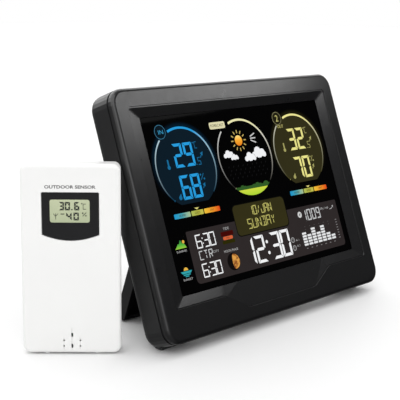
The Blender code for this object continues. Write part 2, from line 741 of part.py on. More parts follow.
def make_leg(hinge, foot, finishes, lean, reach):
    """The fold-out leg: skin, side flanges, ribs, pins on the hinge line, and a stop face at its top."""
    corner = LEG_OUTER * (1 - math.sin(LEG_OPEN)) / math.cos(LEG_OPEN)
    profile = [(LEG_OUTER, leg_end(LEG_OUTER, lean, reach)), (LEG_OUTER, corner)]
    first = 0.5 * math.pi - LEG_OPEN
    for i in range(ARC_STEPS + 1):
        turn = first + (math.pi - first) * i / ARC_STEPS
        profile.append((LEG_OUTER * math.cos(turn), LEG_OUTER * math.sin(turn)))
    profile.append((LEG_INNER, -3.0))
    profile.append((LEG_INNER, leg_end(LEG_INNER, lean, reach)))
    bm = bmesh.new()
    add_prism(bm, profile, -LEG_HALF, LEG_HALF, "X")
    leg = new_object("stand_leg", bm, hinge, finishes["case"], smooth=25)

    pins = bmesh.new()
    for side in (-1, 1):
        add_prism(pins, circle(0.0, 0.0, PIN_RADIUS), side * (LEG_HALF - 1), side * (LEG_HALF + 1.7), "X")
    shape_with(leg, "leg_pins", pins, "UNION")

    hollow = bmesh.new()
    inner_half = LEG_HALF - LEG_SKIN
    skin = LEG_OUTER - LEG_SKIN
    floor = leg_end(0.0, lean, reach) + 4.0
    add_box(hollow, (-inner_half, inner_half), (LEG_INNER - 2, -0.5), (floor, -6.5), 1.0)
    spans = 4
    rib = 1.4
    width = (2 * inner_half - rib * (spans - 1)) / spans
    for i in range(spans):
        low = -inner_half + i * (width + rib)
        add_box(hollow, (low, low + width), (-0.7, skin), (floor, -6.5), 1.0)
    add_prism(hollow, circle(0.0, leg_end(skin, lean, reach) - 3.0, 13.0, 24), -1.5, LEG_OUTER + 2)
    shape_with(leg, "leg_hollow", hollow, "DIFFERENCE")

    sockets = bmesh.new()
    for side in (-1, 1):
        x = side * LEG_PAD_SIDE
        add_prism(sockets, rectangle(x - 7.3, x + 7.3, -2.5, 2.5), -2.0, 1.6, "Z")
    shape_with(leg, "leg_pad_sockets", sockets, "DIFFERENCE", foot)


def make_pads(foot_frame, leg_foot, finishes):
    """The rubber feet under the casing's rear edge and in the leg's end."""
    for side, word in ((-1, "left"), (1, "right")):
        bm = bmesh.new()
        half = PAD_WIDTH / 2
        deep = PAD_DEPTH / 2
        add_prism(bm, rectangle(-half, half, -deep, deep), -FOOT_PROUD, PAD_BURIED, "Z")
        pad = new_object(f"foot_pad_{word}", bm, foot_frame, finishes["rubber"], (side * PAD_SIDE, 0, 0))
        soften(pad, 0.35, 1)
        bm = bmesh.new()
        add_prism(bm, rectangle(-7.0, 7.0, -2.2, 2.2), -FOOT_PROUD, 1.3, "Z")
        pad = new_object(f"stand_pad_{word}", bm, leg_foot, finishes["rubber"], (side * LEG_PAD_SIDE, 0, 0))
        soften(pad, 0.35, 1)


def make_console(finishes):
    """The whole console, leaning back on its leg."""
    frame = empty("console_frame", turn=-TILT)
    foot_frame = empty("casing_foot", frame, foot_place(), TILT)
    hinge = empty("stand_hinge", frame, (0.0, HINGE_DEPTH, HINGE_HEIGHT), LEG_OPEN)
    lean = LEG_OPEN - TILT
    hinge_height = HINGE_HEIGHT * math.cos(TILT) - HINGE_DEPTH * math.sin(TILT)
    reach = table_drop() + hinge_height - FOOT_PROUD
    middle = (LEG_OUTER + LEG_INNER) / 2
    leg_foot = empty("leg_foot", hinge, (0.0, middle, leg_end(middle, lean, reach)), -lean)
    make_front_bezel(frame, finishes)
    make_display_stack(frame, finishes)
    make_ribbon(frame, finishes)
    make_touch_electrode(frame, finishes)
    make_boards(frame, finishes)
    make_rear_cover(frame, foot_frame, finishes)
    make_keys(frame, finishes)
    make_battery_door(frame, finishes)
    make_cells(frame, finishes)
    make_contacts(frame, finishes)
    make_screws(frame, finishes)
    make_leg(hinge, leg_foot, finishes, lean, reach)
    make_pads(foot_frame, leg_foot, finishes)
    return frame


# ---------------------------------------------------------------- wireless sensor


def window_outline(margin=0.0):
    """The black window's outline: straight top and sides and a bottom that bows down."""
    half = WINDOW_HALF + margin
    top = WINDOW_TOP + margin
    low = WINDOW_TOP - WINDOW_SIDE - margin
    steps = 12
    outline = [(half, low), (half, top - 0.5), (half - 0.5, top), (-half + 0.5, top), (-half, top - 0.5)]
    outline.append((-half, low))
    for i in range(1, steps):
        share = 2 * i / steps - 1
        outline.append((half * share, low - WINDOW_BOW * (1 - share**2)))
    return outline


def make_sensor_front(frame, finishes):
    """The sensor's front shell, with the window seat, the vents and the feet."""
    outer = [lay(sensor_outline(i + SENSOR_DRAFT * d), d) for i, d in rounding(SENSOR_ROUND, 4)]
    rim = SENSOR_PARTING - GAP
    outer.insert(0, lay(sensor_outline(SENSOR_DRAFT * rim), rim))
    inner = [
        lay(sensor_outline(SENSOR_WALL + SENSOR_DRAFT * rim), rim),
        lay(sensor_outline(SENSOR_WALL + 0.2), SENSOR_FRONT_WALL + 1.0),
        lay(sensor_outline(SENSOR_WALL + 1.2), SENSOR_FRONT_WALL),
    ]
    bm = bmesh.new()
    add_loft(bm, list(reversed(inner)) + outer)
    shell = new_object("sensor_front_shell", bm, frame, finishes["white"], smooth=28)

    bosses = bmesh.new()
    for x, z in SENSOR_SCREWS:
        add_prism(bosses, circle(x, z, 2.5, 14), SENSOR_FRONT_WALL - 1, SENSOR_PARTING - GAP - 0.2)
    for side in (-1, 1):
        add_box(bosses, (side * 14.0 - 1.2, side * 14.0 + 1.2), (2.4, 7.0), (0.0, 1.6), 0.5)
    shape_with(shell, "front_bosses_and_feet", bosses, "UNION")

    cuts = bmesh.new()
    add_prism(cuts, window_outline(GAP), -1.0, 1.5)
    low = SENSOR_LCD_TOP - SENSOR_LCD_TALL
    lcd = (-SENSOR_LCD_HALF, SENSOR_LCD_HALF)
    add_box(cuts, lcd, (1.0, SENSOR_FRONT_WALL + 1), (low, SENSOR_LCD_TOP), 0.6)
    for x, z in SENSOR_SCREWS:
        add_prism(cuts, circle(x, z, 1.25, 10), SENSOR_FRONT_WALL, SENSOR_PARTING)
    shape_with(shell, "window_seat_and_pilots", cuts, "DIFFERENCE")

    vents = bmesh.new()
    add_box(vents, (-0.5, 0.5), (-1.0, 0.5), (2.2 + SENSOR_FEET, 15.8), 0.4)
    for side in (-1, 1):
        add_box(vents, (side * 4.5 - 0.35, side * 4.5 + 0.35), (-1.0, 0.35), (2.6 + SENSOR_FEET, 10.3), 0.3)
    for z in (4.7, 11.2):
        add_box(vents, (-0.55, 0.55), (-1.1, SENSOR_FRONT_WALL + 1), (z - 1.2, z + 1.2), 0.45)
    for x in (-4.5, 4.5):
        for z in (4.8, 8.1):
            add_prism(vents, circle(x, z, 0.55, 8), -1.1, SENSOR_FRONT_WALL + 1)
    shape_with(shell, "vents", vents, "DIFFERENCE")


def make_sensor_rear(frame, finishes):
    """The sensor's rear shell, with its battery bay, control shelf, bosses, feet and keyhole."""
    deep = SENSOR_DEPTH
    rim = SENSOR_PARTING
    outer = [lay(sensor_outline(SENSOR_DRAFT * rim), rim)]
    draft = SENSOR_DRAFT * deep
    outer += [lay(sensor_outline(i + draft), deep - d) for i, d in rounding(2.6, 4)]
    wall = SENSOR_WALL
    inner = [
        lay(sensor_outline(wall + SENSOR_DRAFT * rim), rim),
        lay(sensor_outline(wall + draft), deep - 2.6),
        lay(sensor_outline(wall + draft + 0.9), deep - wall),
    ]
    bm = bmesh.new()
    add_loft(bm, list(reversed(inner)) + outer)
    shell = new_object("sensor_rear_shell", bm, frame, finishes["white"], smooth=28)

    root = deep - 1.0
    solids = bmesh.new()
    side = SENSOR_BAY_HALF + 1.2
    add_box(solids, (-side, side), (4.5, root), (SENSOR_BAY_LOW - 1.2, SENSOR_BAY_HIGH + 1.2))
    add_box(solids, (-side + 0.1, side - 0.1), (9.7, root + 0.1), (SENSOR_BAY_HIGH, SENSOR_SHELF_HIGH + 1.2))
    add_box(solids, (-side - 2, side + 2), (14.9, root + 0.2), (3.2, SENSOR_SHELF_HIGH + 3.4))
    for x, z in SENSOR_SCREWS:
        add_prism(solids, circle(x, z, 3.2, 14), rim, root + 0.3)
    add_box(solids, (-6.0, 6.0), (13.2, root + 0.1), (82.0, 98.5), 1.5)
    for way in (-1, 1):
        add_box(solids, (way * 14.0 - 1.2, way * 14.0 + 1.2), (rim + 0.6, 15.0), (0.0, 2.2), 0.5)
    shape_with(shell, "rear_bay_and_bosses", solids, "UNION")

    cuts = bmesh.new()
    beyond = deep + 4.0
    half = (-SENSOR_BAY_HALF, SENSOR_BAY_HALF)
    add_box(cuts, half, (5.4, beyond), (SENSOR_BAY_LOW, SENSOR_BAY_HIGH), 0.8)
    add_box(cuts, half, (10.6, beyond + 0.1), (SENSOR_BAY_HIGH - 1, SENSOR_SHELF_HIGH), 0.8)
    seat = SENSOR_BAY_HALF + 2.0
    add_box(cuts, (-seat, seat), (deep - 1.8, beyond + 0.2), (-2.0, SENSOR_SHELF_HIGH + 2.0))
    for x, z in SENSOR_SCREWS:
        add_prism(cuts, circle(x, z, 1.3, 10), rim - 1, 12.0)
        add_prism(cuts, circle(x, z, 2.2, 12), 11.0, beyond)
    keyhole(cuts, 0.0, 86.0, deep)
    add_box(cuts, (-8.4, -1.6), (8.0, 11.0), (58.6, 61.4), 0.4)
    add_prism(cuts, circle(6.0, 60.0, 1.8, 12), 8.0, 11.0)
    shape_with(shell, "rear_hollows", cuts, "DIFFERENCE")


def make_sensor_inside(frame, finishes):
    """The window, display, board, probe and aerial between the sensor's two shells."""
    bm = bmesh.new()
    add_prism(bm, window_outline(), 0.15, 1.2)
    new_object("sensor_window", bm, frame, finishes["window"])

    bm = bmesh.new()
    low = SENSOR_LCD_TOP - SENSOR_LCD_TALL - 0.6
    high = SENSOR_LCD_TOP + 0.6
    add_box(bm, (-12.4, 12.4), (2.7, 4.3), (low, high))
    new_object("sensor_lcd", bm, frame, finishes["segment"])

    bm = bmesh.new()
    add_box(bm, (-20.0, 20.0), (4.6, 5.7), (57.6, 94.0), 1.0)
    board = new_object("sensor_board", bm, frame, finishes["board"])
    parts = bmesh.new()
    add_box(parts, (-9.0, -1.0), (5.5, 9.2), (58.2, 61.8))
    add_box(parts, (4.0, 8.0), (5.5, 8.6), (58.0, 62.0))
    add_box(parts, (-6.0, 6.0), (5.5, 7.0), (72.0, 84.0))
    add_prism(parts, circle(-13.0, 88.0, 2.0, 10), 5.5, 9.0)
    shape_with(board, "sensor_board_parts", parts, "UNION")

    bm = bmesh.new()
    add_box(bm, (-3.5, 3.5), (2.9, 4.1), (6.6, 15.4), 0.8)
    new_object("sensor_probe", bm, frame, finishes["board"])

    bm = bmesh.new()
    path = [(16.0, 7.0, 60.0), (16.0, 7.0, 66.0), (16.6, 7.6, 69.0), (17.0, 8.0, 72.0), (17.0, 8.0, 92.0)]
    add_tube(bm, path, 0.5, 8)
    new_object("sensor_antenna", bm, frame, finishes["contact"], smooth=40)

    bm = bmesh.new()
    add_loft(bm, [
        lay(rectangle(-1.1, 1.1, -0.9, 0.9), -0.3),
        lay(rectangle(-1.1, 1.1, -0.9, 0.9), 1.6),
        lay(rectangle(-0.8, 0.8, -0.9, 0.9), 2.4),
    ])
    new_object("sensor_channel_switch", bm, frame, finishes["component"], (-5.0, 9.8, 60.0))

    bm = bmesh.new()
    add_turned(bm, [(-0.2, 1.4), (2.2, 1.4), (2.5, 1.1)], axis="Y", steps=14)
    new_object("sensor_tx_button", bm, frame, finishes["component"], (6.0, 9.4, 60.0), smooth=35)


def make_sensor_power(frame, finishes):
    """The sensor's two cells, their contacts, the sliding door and the screws."""
    length = CELL_LENGTH
    for number, side in ((1, -1), (2, 1)):
        profile = [
            (0.0, 4.4),
            (0.5, CELL_RADIUS),
            (length - 1.6, CELL_RADIUS),
            (length - 1.1, 4.4),
            (length - 1.1, 1.9),
            (length, 1.7),
        ]
        low = SENSOR_BAY_LOW + (3.4 if side < 0 else 2.4)
        if side > 0:
            profile = [(length - along, radius) for along, radius in profile]
        bm = bmesh.new()
        add_turned(bm, profile, axis="Z")
        place = (side * SENSOR_CELL_SIDE, SENSOR_CELL_DEPTH, low)
        new_object(f"sensor_battery_{number}", bm, frame, finishes["cell"], place, smooth=35)

    ends = (("sensor_contact_bottom", SENSOR_BAY_LOW, 1), ("sensor_contact_top", SENSOR_BAY_HIGH, -1))
    for name, z, way in ends:
        near, far = z + way * GAP, z + way * (GAP + 0.5)
        bm = bmesh.new()
        plate = rectangle(-11.5, 11.5, 6.2, 9.8 if way < 0 else 15.6)
        add_prism(bm, plate, min(near, far), max(near, far), "Z")
        contact = new_object(name, bm, frame, finishes["contact"])
        spring_side = -1 if way > 0 else 1
        bumps = bmesh.new()
        start = (z + way * (GAP + 0.3), SENSOR_CELL_DEPTH, spring_side * SENSOR_CELL_SIDE)
        rise = 2.4 if way > 0 else 2.0
        coil = [(x, y, along) for along, y, x in helix(start, way, 3.4, rise, 2)]
        add_tube(bumps, coil, 0.4, 4)
        shape_with(contact, f"{name}_spring", bumps, "UNION")

    seat = SENSOR_BAY_HALF + 2.0 - GAP
    bm = bmesh.new()
    low, high = 2.4, SENSOR_SHELF_HIGH + 2.0 - GAP
    add_box(bm, (-seat, seat), (SENSOR_DEPTH - 1.5, SENSOR_DEPTH), (low - high, 0.0), 0.6)
    door_place = (0.0, 0.0, high)
    door = new_object("sensor_battery_door", bm, frame, finishes["white"], door_place)
    ribs = bmesh.new()
    for i in range(5):
        z = high - 8.0 - 1.8 * i
        add_box(ribs, (-6.0, 6.0), (SENSOR_DEPTH - 0.4, SENSOR_DEPTH + 0.3), (z - 0.4, z + 0.4))
    shape_with(door, "sensor_door_grip", ribs, "UNION")

    for number, (x, z) in enumerate(SENSOR_SCREWS, 1):
        profile = [(4.0, 0.4), (4.8, 0.95), (11.3, 0.95), (11.3, 1.9), (12.4, 1.9), (12.8, 1.3)]
        bm = bmesh.new()
        add_turned(bm, profile, axis="Y", steps=8)
        new_object(f"sensor_screw_{number}", bm, frame, finishes["screw"], (x, 0.0, z), smooth=35)


def make_sensor(finishes):
    """The whole sensor, standing on the table beside the console."""
    place = (*SENSOR_PLACE, -table_drop())
    frame = empty("sensor_frame", location=place, turn=SENSOR_YAW, axis="Z")
    make_sensor_front(frame, finishes)
    make_sensor_rear(frame, finishes)
    make_sensor_inside(frame, finishes)
    make_sensor_power(frame, finishes)
    return frame


# ---------------------------------------------------------------- whole station


def stand_on_origin(frames):
    """Moves both units together, so that the middle of their footprint is the origin."""
    bpy.context.view_layer.update()
    low = Vector((math.inf,) * 3)
    high = Vector((-math.inf,) * 3)
    graph = bpy.context.evaluated_depsgraph_get()
    for part in bpy.context.scene.objects:
        if part.type != "MESH" or part.hide_render:
            continue
        evaluated = part.evaluated_get(graph)
        for vertex in evaluated.to_mesh().vertices:
            point = part.matrix_world @ vertex.co
            low = Vector(map(min, low, point))
            high = Vector(map(max, high, point))
        evaluated.to_mesh_clear()
    shift = Vector(((low.x + high.x) / 2, (low.y + high.y) / 2, low.z))
    for frame in frames:
        frame.location -= shift


def main():
    for old in list(bpy.data.objects):
        bpy.data.objects.remove(old, do_unlink=True)
    finishes = make_materials()
    frames = [make_console(finishes), make_sensor(finishes)]
    stand_on_origin(frames)


main()
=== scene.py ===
"""Looks of the home weather station: its lit display, its printing and the finishes of its two units."""

import math

import bmesh
import bpy
from mathutils import Matrix, Quaternion, Vector


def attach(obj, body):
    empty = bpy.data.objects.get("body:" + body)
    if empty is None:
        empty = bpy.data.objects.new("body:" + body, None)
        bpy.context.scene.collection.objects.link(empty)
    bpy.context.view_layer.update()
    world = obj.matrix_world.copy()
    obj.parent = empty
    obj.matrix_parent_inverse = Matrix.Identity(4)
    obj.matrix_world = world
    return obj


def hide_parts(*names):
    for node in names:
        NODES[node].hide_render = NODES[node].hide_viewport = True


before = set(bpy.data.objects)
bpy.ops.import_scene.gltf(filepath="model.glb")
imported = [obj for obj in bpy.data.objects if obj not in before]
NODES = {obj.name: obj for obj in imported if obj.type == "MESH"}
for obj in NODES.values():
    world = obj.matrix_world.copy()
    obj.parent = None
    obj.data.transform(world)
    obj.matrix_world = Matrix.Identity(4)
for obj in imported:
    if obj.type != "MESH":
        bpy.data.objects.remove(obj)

bl_info = {
    "name": "Home weather station",
    "version": (1, 0, 0),
    "blender": (4, 5, 0),
    "location": "View3D > Sidebar > Weather station",
    "description": "Builds the display, prints, finishes and stage of a weather station",
    "category": "Object",
}

MM = 0.001
TILT = math.radians(20.0)
YAW = math.radians(-45.0)

# The display in millimetres: how far its middle lies under the lens's, and the heights of its dials
DISPLAY_MIDDLE = 4.0
DIAL_MIDDLE = 24.3
FORECAST_MIDDLE = 25.0
DIAL_FLAT = 2.9

CASE_NODES = ("front_bezel", "rear_cover", "battery_door", "stand_leg")
WHITE_NODES = ("sensor_front_shell", "sensor_rear_shell", "sensor_battery_door")
KEY_SIGNS = ("mode", "up", "down", "bell", "wave", "light", "memory")

# The two faces that carry printing: right, up and outward of each
FACE_RIGHT = Vector((1.0, 0.0, 0.0))
FACE_UP = Vector((0.0, math.sin(TILT), math.cos(TILT)))
FACE_OUT = Vector((0.0, -math.cos(TILT), math.sin(TILT)))
SENSOR_RIGHT = Vector((math.cos(YAW), math.sin(YAW), 0.0))
SENSOR_UP = Vector((0.0, 0.0, 1.0))
SENSOR_OUT = SENSOR_RIGHT.cross(SENSOR_UP)
BACK_RIGHT = -FACE_RIGHT
BACK_OUT = -FACE_OUT

# The camera, in metres from a point just in front of the middle of the display
FRONT_OF_LENS = 0.0028
AIM_RISE = 0.0003
CAMERA_FROM = Vector((-0.4697, -0.4022, 0.1176))
CAMERA_AT = Vector((-0.0600, -0.0073, 0.0055))
CAMERA_ROLL = math.radians(0.54)
FOCAL_LENGTH = 91.3

# The level direction in which the console's face reflects the viewer's gaze
AWAY = Vector((0.77, -0.64, 0.0))

# The lit plates lie on the lens; this base colour and gloss make them seem to shine through it
PRINT_BLACK = (0.001, 0.001, 0.001)
PRINT_GLOSS = 0.012

# Heights of printed layers over their face, in millimetres
FILL_LAYER = (0.004, 0.030)
PRINT_LAYER = (0.034, 0.060)
TOP_LAYER = (0.064, 0.090)


# ---------------------------------------------------------------- settings


def length(name, description, default):
    """A length property, given in millimetres and kept in metres."""
    return bpy.props.FloatProperty(
        name=name, description=description, default=default * MM, min=0.0, precision=5,
        subtype="DISTANCE", unit="LENGTH",
    )


def colour(name, description, default):
    """A colour property in linear light."""
    return bpy.props.FloatVectorProperty(
        name=name, description=description, default=default, size=3, min=0.0, max=1.0, subtype="COLOR",
    )


class StationSizes(bpy.types.PropertyGroup):
    """Sizes of the display artwork."""

    dial_radius: length("Dial radius", "Outer radius of the three round dials", 24.5)
    dial_spacing: length("Dial spacing", "Distance from the middle dial to each side dial", 52.4)
    ring_width: length("Ring width", "Width of a dial's ring where it is brightest", 1.45)
    reading_height: length("Reading height", "Height of the temperature and humidity numerals", 14.4)
    clock_height: length("Clock height", "Height of the clock's numerals", 16.9)
    artwork_shift: length("Artwork shift", "How far the artwork sits to the left of the lens's middle", 0.3)


class StationColours(bpy.types.PropertyGroup):
    """Colours of the mouldings and of the display artwork."""

    case: colour("Case", "Charcoal plastic of the console", (0.0062, 0.0062, 0.0068))
    sensor: colour("Sensor", "White plastic of the sensor", (0.84, 0.84, 0.83))
    indoor: colour("Indoor", "Blue of the indoor dial", (0.020, 0.330, 0.720))
    outdoor: colour("Outdoor", "Yellow of the outdoor dial", (0.830, 0.780, 0.260))
    clock: colour("Clock", "White of the clock and the graph", (0.90, 0.91, 0.92))
    panel: colour("Panel", "Grey of the lower panel", (0.0270, 0.0215, 0.0215))
    date_panel: colour("Date panel", "Olive of the date panel", (0.032, 0.028, 0.008))


def sizes():
    """The scene's size settings."""
    return bpy.context.scene.station_sizes


def colours():
    """The scene's colour settings."""
    return bpy.context.scene.station_colours


# ---------------------------------------------------------------- places


def reach(node, direction):
    """How far a CAD node's vertices go along a direction, lowest and highest, in metres."""
    far = [vertex.co.dot(direction) for vertex in NODES[node].data.vertices]
    return min(far), max(far)


def face_place(node, right, up, out, middle_up):
    """The matrix from millimetres on a printed face to metres in the world.

    Height 0 on the face lies middle_up millimetres below the node's middle.
    """
    across = sum(reach(node, right)) / 2
    high = sum(reach(node, up)) / 2 - middle_up * MM
    front = reach(node, out)[1]
    origin = right * across + up * high + out * front
    columns = Matrix((right, up, out)).transposed() * MM
    return Matrix.Translation(origin) @ columns.to_4x4()


def display_place():
    """The place of the display artwork on the console's lens."""
    shift = Matrix.Translation(-FACE_RIGHT * sizes().artwork_shift)
    return shift @ face_place("display_lens", FACE_RIGHT, FACE_UP, FACE_OUT, DISPLAY_MIDDLE)


def sensor_place(node):
    """The place of printing on a sensor node, with height 0 at that node's middle."""
    return face_place(node, SENSOR_RIGHT, SENSOR_UP, SENSOR_OUT, 0.0)


# ---------------------------------------------------------------- shader trees


class Wire:
    """A node socket that takes part in Python sums and adds Math nodes for them."""

    def __init__(self, tree, socket):
        self.tree = tree
        self.socket = socket

    def maths(self, operation, *others):
        """A Math node on this socket and the others."""
        values = {place: other for place, other in enumerate((self, *others))}
        return self.tree.add("ShaderNodeMath", {"operation": operation}, values)

    def __add__(self, other):
        return self.maths("ADD", other)

    __radd__ = __add__

    def __mul__(self, other):
        return self.maths("MULTIPLY", other)

    __rmul__ = __mul__

    def __sub__(self, other):
        return self.maths("SUBTRACT", other)

    def __rsub__(self, other):
        return self.tree.add("ShaderNodeMath", {"operation": "SUBTRACT"}, {0: other, 1: self})

    def __truediv__(self, other):
        return self.maths("DIVIDE", other)

    def clamped(self):
        """This value kept from 0 to 1."""
        return self.maths("MAXIMUM", 0.0).maths("MINIMUM", 1.0)

    def step(self, low, high):
        """0 below low, 1 above high and smooth between them."""
        settings = {"interpolation_type": "SMOOTHSTEP"}
        return self.tree.add("ShaderNodeMapRange", settings, {0: self, 1: low, 2: high})


class Tree:
    """A node tree with one way to add any node."""

    def __init__(self, tree):
        self.tree = tree

    def add(self, kind, settings=None, values=None, output=0):
        """Adds a node, sets it up, fills its sockets with values or links and returns one output."""
        node = self.tree.nodes.new(kind)
        for name, value in (settings or {}).items():
            if name == "stops":
                self.set_stops(node.color_ramp, value)
            else:
                setattr(node, name, value)
        for place, value in (values or {}).items():
            if isinstance(value, Wire):
                self.tree.links.new(value.socket, node.inputs[place])
            else:
                node.inputs[place].default_value = value
        return Wire(self, node.outputs[output])

    def set_stops(self, ramp, stops):
        """Gives a colour ramp its stops."""
        while len(ramp.elements) > len(stops):
            ramp.elements.remove(ramp.elements[-1])
        while len(ramp.elements) < len(stops):
            ramp.elements.new(1.0)
        for element, (position, value) in zip(ramp.elements, stops):
            element.position = position
            element.color = (*value, 1.0)

    def ramp(self, value, stops):
        """A colour picked from stops by a value from 0 to 1."""
        return self.add("ShaderNodeValToRGB", {"stops": stops}, {"Fac": value})

    def mix(self, share, first, second):
        """A blend of two colours."""
        settings = {"data_type": "RGBA"}
        ends = [value if isinstance(value, Wire) else (*value, 1.0) for value in (first, second)]
        return self.add("ShaderNodeMix", settings, {0: share, 6: ends[0], 7: ends[1]}, output=2)

    def position(self):
        """The point on the surface, in metres in the object's own space."""
        return self.add("ShaderNodeTexCoord", output=3)

    def parts(self, vector):
        """The three parts of a vector."""
        node = self.add("ShaderNodeSeparateXYZ", values={0: vector})
        return [Wire(self, socket) for socket in node.socket.node.outputs]

    def noise(self, scale, detail=2.0, vector=None, roughness=0.5):
        """Soft noise with about one feature per 1/scale metres, around 0.5."""
        values = {"Scale": scale, "Detail": detail, "Roughness": roughness}
        values["Vector"] = vector or self.position()
        return self.add("ShaderNodeTexNoise", values=values)


class Finish(Tree):
    """A material with one Principled shader."""

    def __init__(self, name, base, roughness, metallic=0.0, **sockets):
        self.material = bpy.data.materials.new(name)
        self.material.use_nodes = True
        super().__init__(self.material.node_tree)
        self.shader = self.tree.nodes["Principled BSDF"]
        self.set("Base Color", base)
        self.set("Roughness", roughness)
        self.set("Metallic", metallic)
        for socket, value in sockets.items():
            self.set(socket.replace("_", " "), value)

    def set(self, socket, value):
        """Sets a socket of the shader to a value or a link."""
        if isinstance(value, Wire):
            self.tree.links.new(value.socket, self.shader.inputs[socket])
        else:
            old = self.shader.inputs[socket].default_value
            wide = hasattr(old, "__len__") and len(old) == 4 and len(value) == 3
            self.shader.inputs[socket].default_value = (*value, 1.0) if wide else value
        return self

    def bump(self, height, distance, strength=1.0):
        """Raises the surface by height times distance, in metres."""
        values = {"Height": height, "Distance": distance, "Strength": strength}
        return self.set("Normal", self.add("ShaderNodeBump", values=values))


def shade(base, share):
    """A colour made darker or lighter."""
    return tuple(min(1.0, part * share) for part in base)


def moulded_plastic(name, base, roughness, grain, cloud=0.12):
    """Moulded plastic: a fine spark-eroded grain, slow changes of tone and a little uneven sheen."""
    finish = Finish(name, base, roughness, Specular_IOR_Level=0.5)
    slow = finish.noise(35.0, 3.0)
    finish.set("Base Color", finish.mix(slow, shade(base, 1 - cloud), shade(base, 1 + cloud)))
    polish = finish.noise(220.0, 2.0)
    finish.set("Roughness", roughness - 0.05 + polish * 0.08 + slow * 0.03)
    fine = finish.noise(2600.0, 2.0)
    coarse = finish.noise(900.0, 1.0)
    finish.bump(fine * 0.7 + coarse * 0.3, grain)
    return finish.material


def gloss_plastic(name, base, roughness=0.06):
    """Polished plastic with faint smears that only show in its reflections."""
    finish = Finish(name, base, roughness)
    smear = finish.noise(60.0, 4.0)
    finish.set("Roughness", roughness * 0.7 + smear.step(0.45, 0.75) * 0.06)
    finish.set("Base Color", finish.mix(smear, shade(base, 0.85), shade(base, 1.2)))
    return finish.material


def soft_rubber(name, base):
    """Matt rubber with a fine pebbled skin."""
    finish = Finish(name, base, 0.75)
    pebble = finish.noise(1500.0, 3.0)
    finish.set("Base Color", finish.mix(pebble, shade(base, 0.8), shade(base, 1.5)))
    finish.set("Roughness", 0.66 + pebble * 0.18)
    finish.bump(pebble, 0.00012)
    return finish.material


def plated_metal(name, base, roughness):
    """Plated steel with fine drawn lines and a few duller patches."""
    finish = Finish(name, base, roughness, 1.0)
    stretched = finish.add("ShaderNodeMapping", values={0: finish.position(), 3: (300.0, 2400.0, 900.0)})
    lines = finish.noise(1.0, 2.0, stretched)
    patch = finish.noise(260.0, 3.0)
    finish.set("Base Color", finish.mix(patch, shade(base, 0.75), shade(base, 1.1)))
    finish.set("Roughness", roughness - 0.06 + lines * 0.12 + patch * 0.06)
    finish.bump(lines, 0.00002)
    return finish.material


def circuit_board(name):
    """Green solder mask over copper tracks."""
    finish = Finish(name, (0.01, 0.09, 0.04), 0.35)
    squares = finish.add("ShaderNodeTexBrick", {"offset": 0.37}, {
        "Vector": finish.position(),
        "Color1": (0.0, 0.0, 0.0, 1.0),
        "Color2": (0.25, 0.25, 0.25, 1.0),
        "Mortar": (1.0, 1.0, 1.0, 1.0),
        "Scale": 180.0,
        "Mortar Size": 0.03,
    })
    finish.set("Base Color", finish.mix(squares, (0.008, 0.075, 0.035), (0.03, 0.20, 0.09)))
    finish.set("Roughness", 0.30 + finish.noise(500.0) * 0.15)
    return finish.material


def cell_sleeve(name, along):
    """A battery's printed sleeve: dark, with a lighter band at one end. along is its axis in the world."""
    finish = Finish(name, (0.03, 0.03, 0.035), 0.3)
    ends = {0: finish.position(), 1: along}
    dots = finish.add("ShaderNodeVectorMath", {"operation": "DOT_PRODUCT"}, ends, output=1)
    band = dots.maths("MULTIPLY", 1 / 0.0445).maths("FRACT").step(0.70, 0.72)
    finish.set("Base Color", finish.mix(band, (0.028, 0.03, 0.036), (0.42, 0.20, 0.07)))
    finish.set("Roughness", 0.24 + finish.noise(300.0) * 0.12)
    return finish.material


def lit_print(name, base, strength=1.0, gloss=0.10):
    """Printing that glows from behind: even light with the faint unevenness of a backlight."""
    finish = Finish(name, PRINT_BLACK, gloss, Emission_Strength=strength, Specular_IOR_Level=PRINT_GLOSS)
    cloud = finish.noise(90.0, 2.0)
    finish.set("Emission Color", finish.mix(cloud, shade(base, 0.90), shade(base, 1.08)))
    return finish.material


def graded_print(name, stops, attribute="along", strength=1.0):
    """Glowing printing whose colour follows the piece's own attribute from 0 to 1."""
    finish = Finish(name, PRINT_BLACK, 0.10, Emission_Strength=strength, Specular_IOR_Level=PRINT_GLOSS)
    along = finish.add("ShaderNodeAttribute", {"attribute_name": attribute}, output=2)
    finish.set("Emission Color", finish.ramp(along, stops))
    return finish.material


# ---------------------------------------------------------------- meshes


def link(name, mesh, material=None):
    """A new object at the origin for a mesh that already holds its place."""
    made = bpy.data.objects.new(name, mesh)
    bpy.context.scene.collection.objects.link(made)
    if material:
        made.data.materials.clear()
        made.data.materials.append(material)
    return made


def finish_piece(piece, body):
    """Sets a finished piece on its body."""
    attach(piece, body)
    return piece


def area_of(outline):
    """Signed area of an outline; positive when it runs anticlockwise."""
    turned = outline[1:] + outline[:1]
    return sum(a[0] * b[1] - b[0] * a[1] for a, b in zip(outline, turned)) / 2


def add_plate(bm, outline, layer, tones=None):
    """Adds a closed thin plate, from layer[0] to layer[1] above the face, all in millimetres."""
    pairs = list(zip(outline, tones or [0.0] * len(outline)))
    if area_of(outline) < 0:
        pairs.reverse()
    key = bm.verts.layers.float.get("along") or bm.verts.layers.float.new("along")
    rows = []
    for height in layer:
        row = [bm.verts.new((*point, height)) for point, tone in pairs]
        for vertex, (point, tone) in zip(row, pairs):
            vertex[key] = tone
        rows.append(row)
    bm.faces.new(rows[1])
    bm.faces.new(list(reversed(rows[0])))
    count = len(pairs)
    for here in range(count):
        there = (here + 1) % count
        bm.faces.new((rows[0][here], rows[0][there], rows[1][there], rows[1][here]))


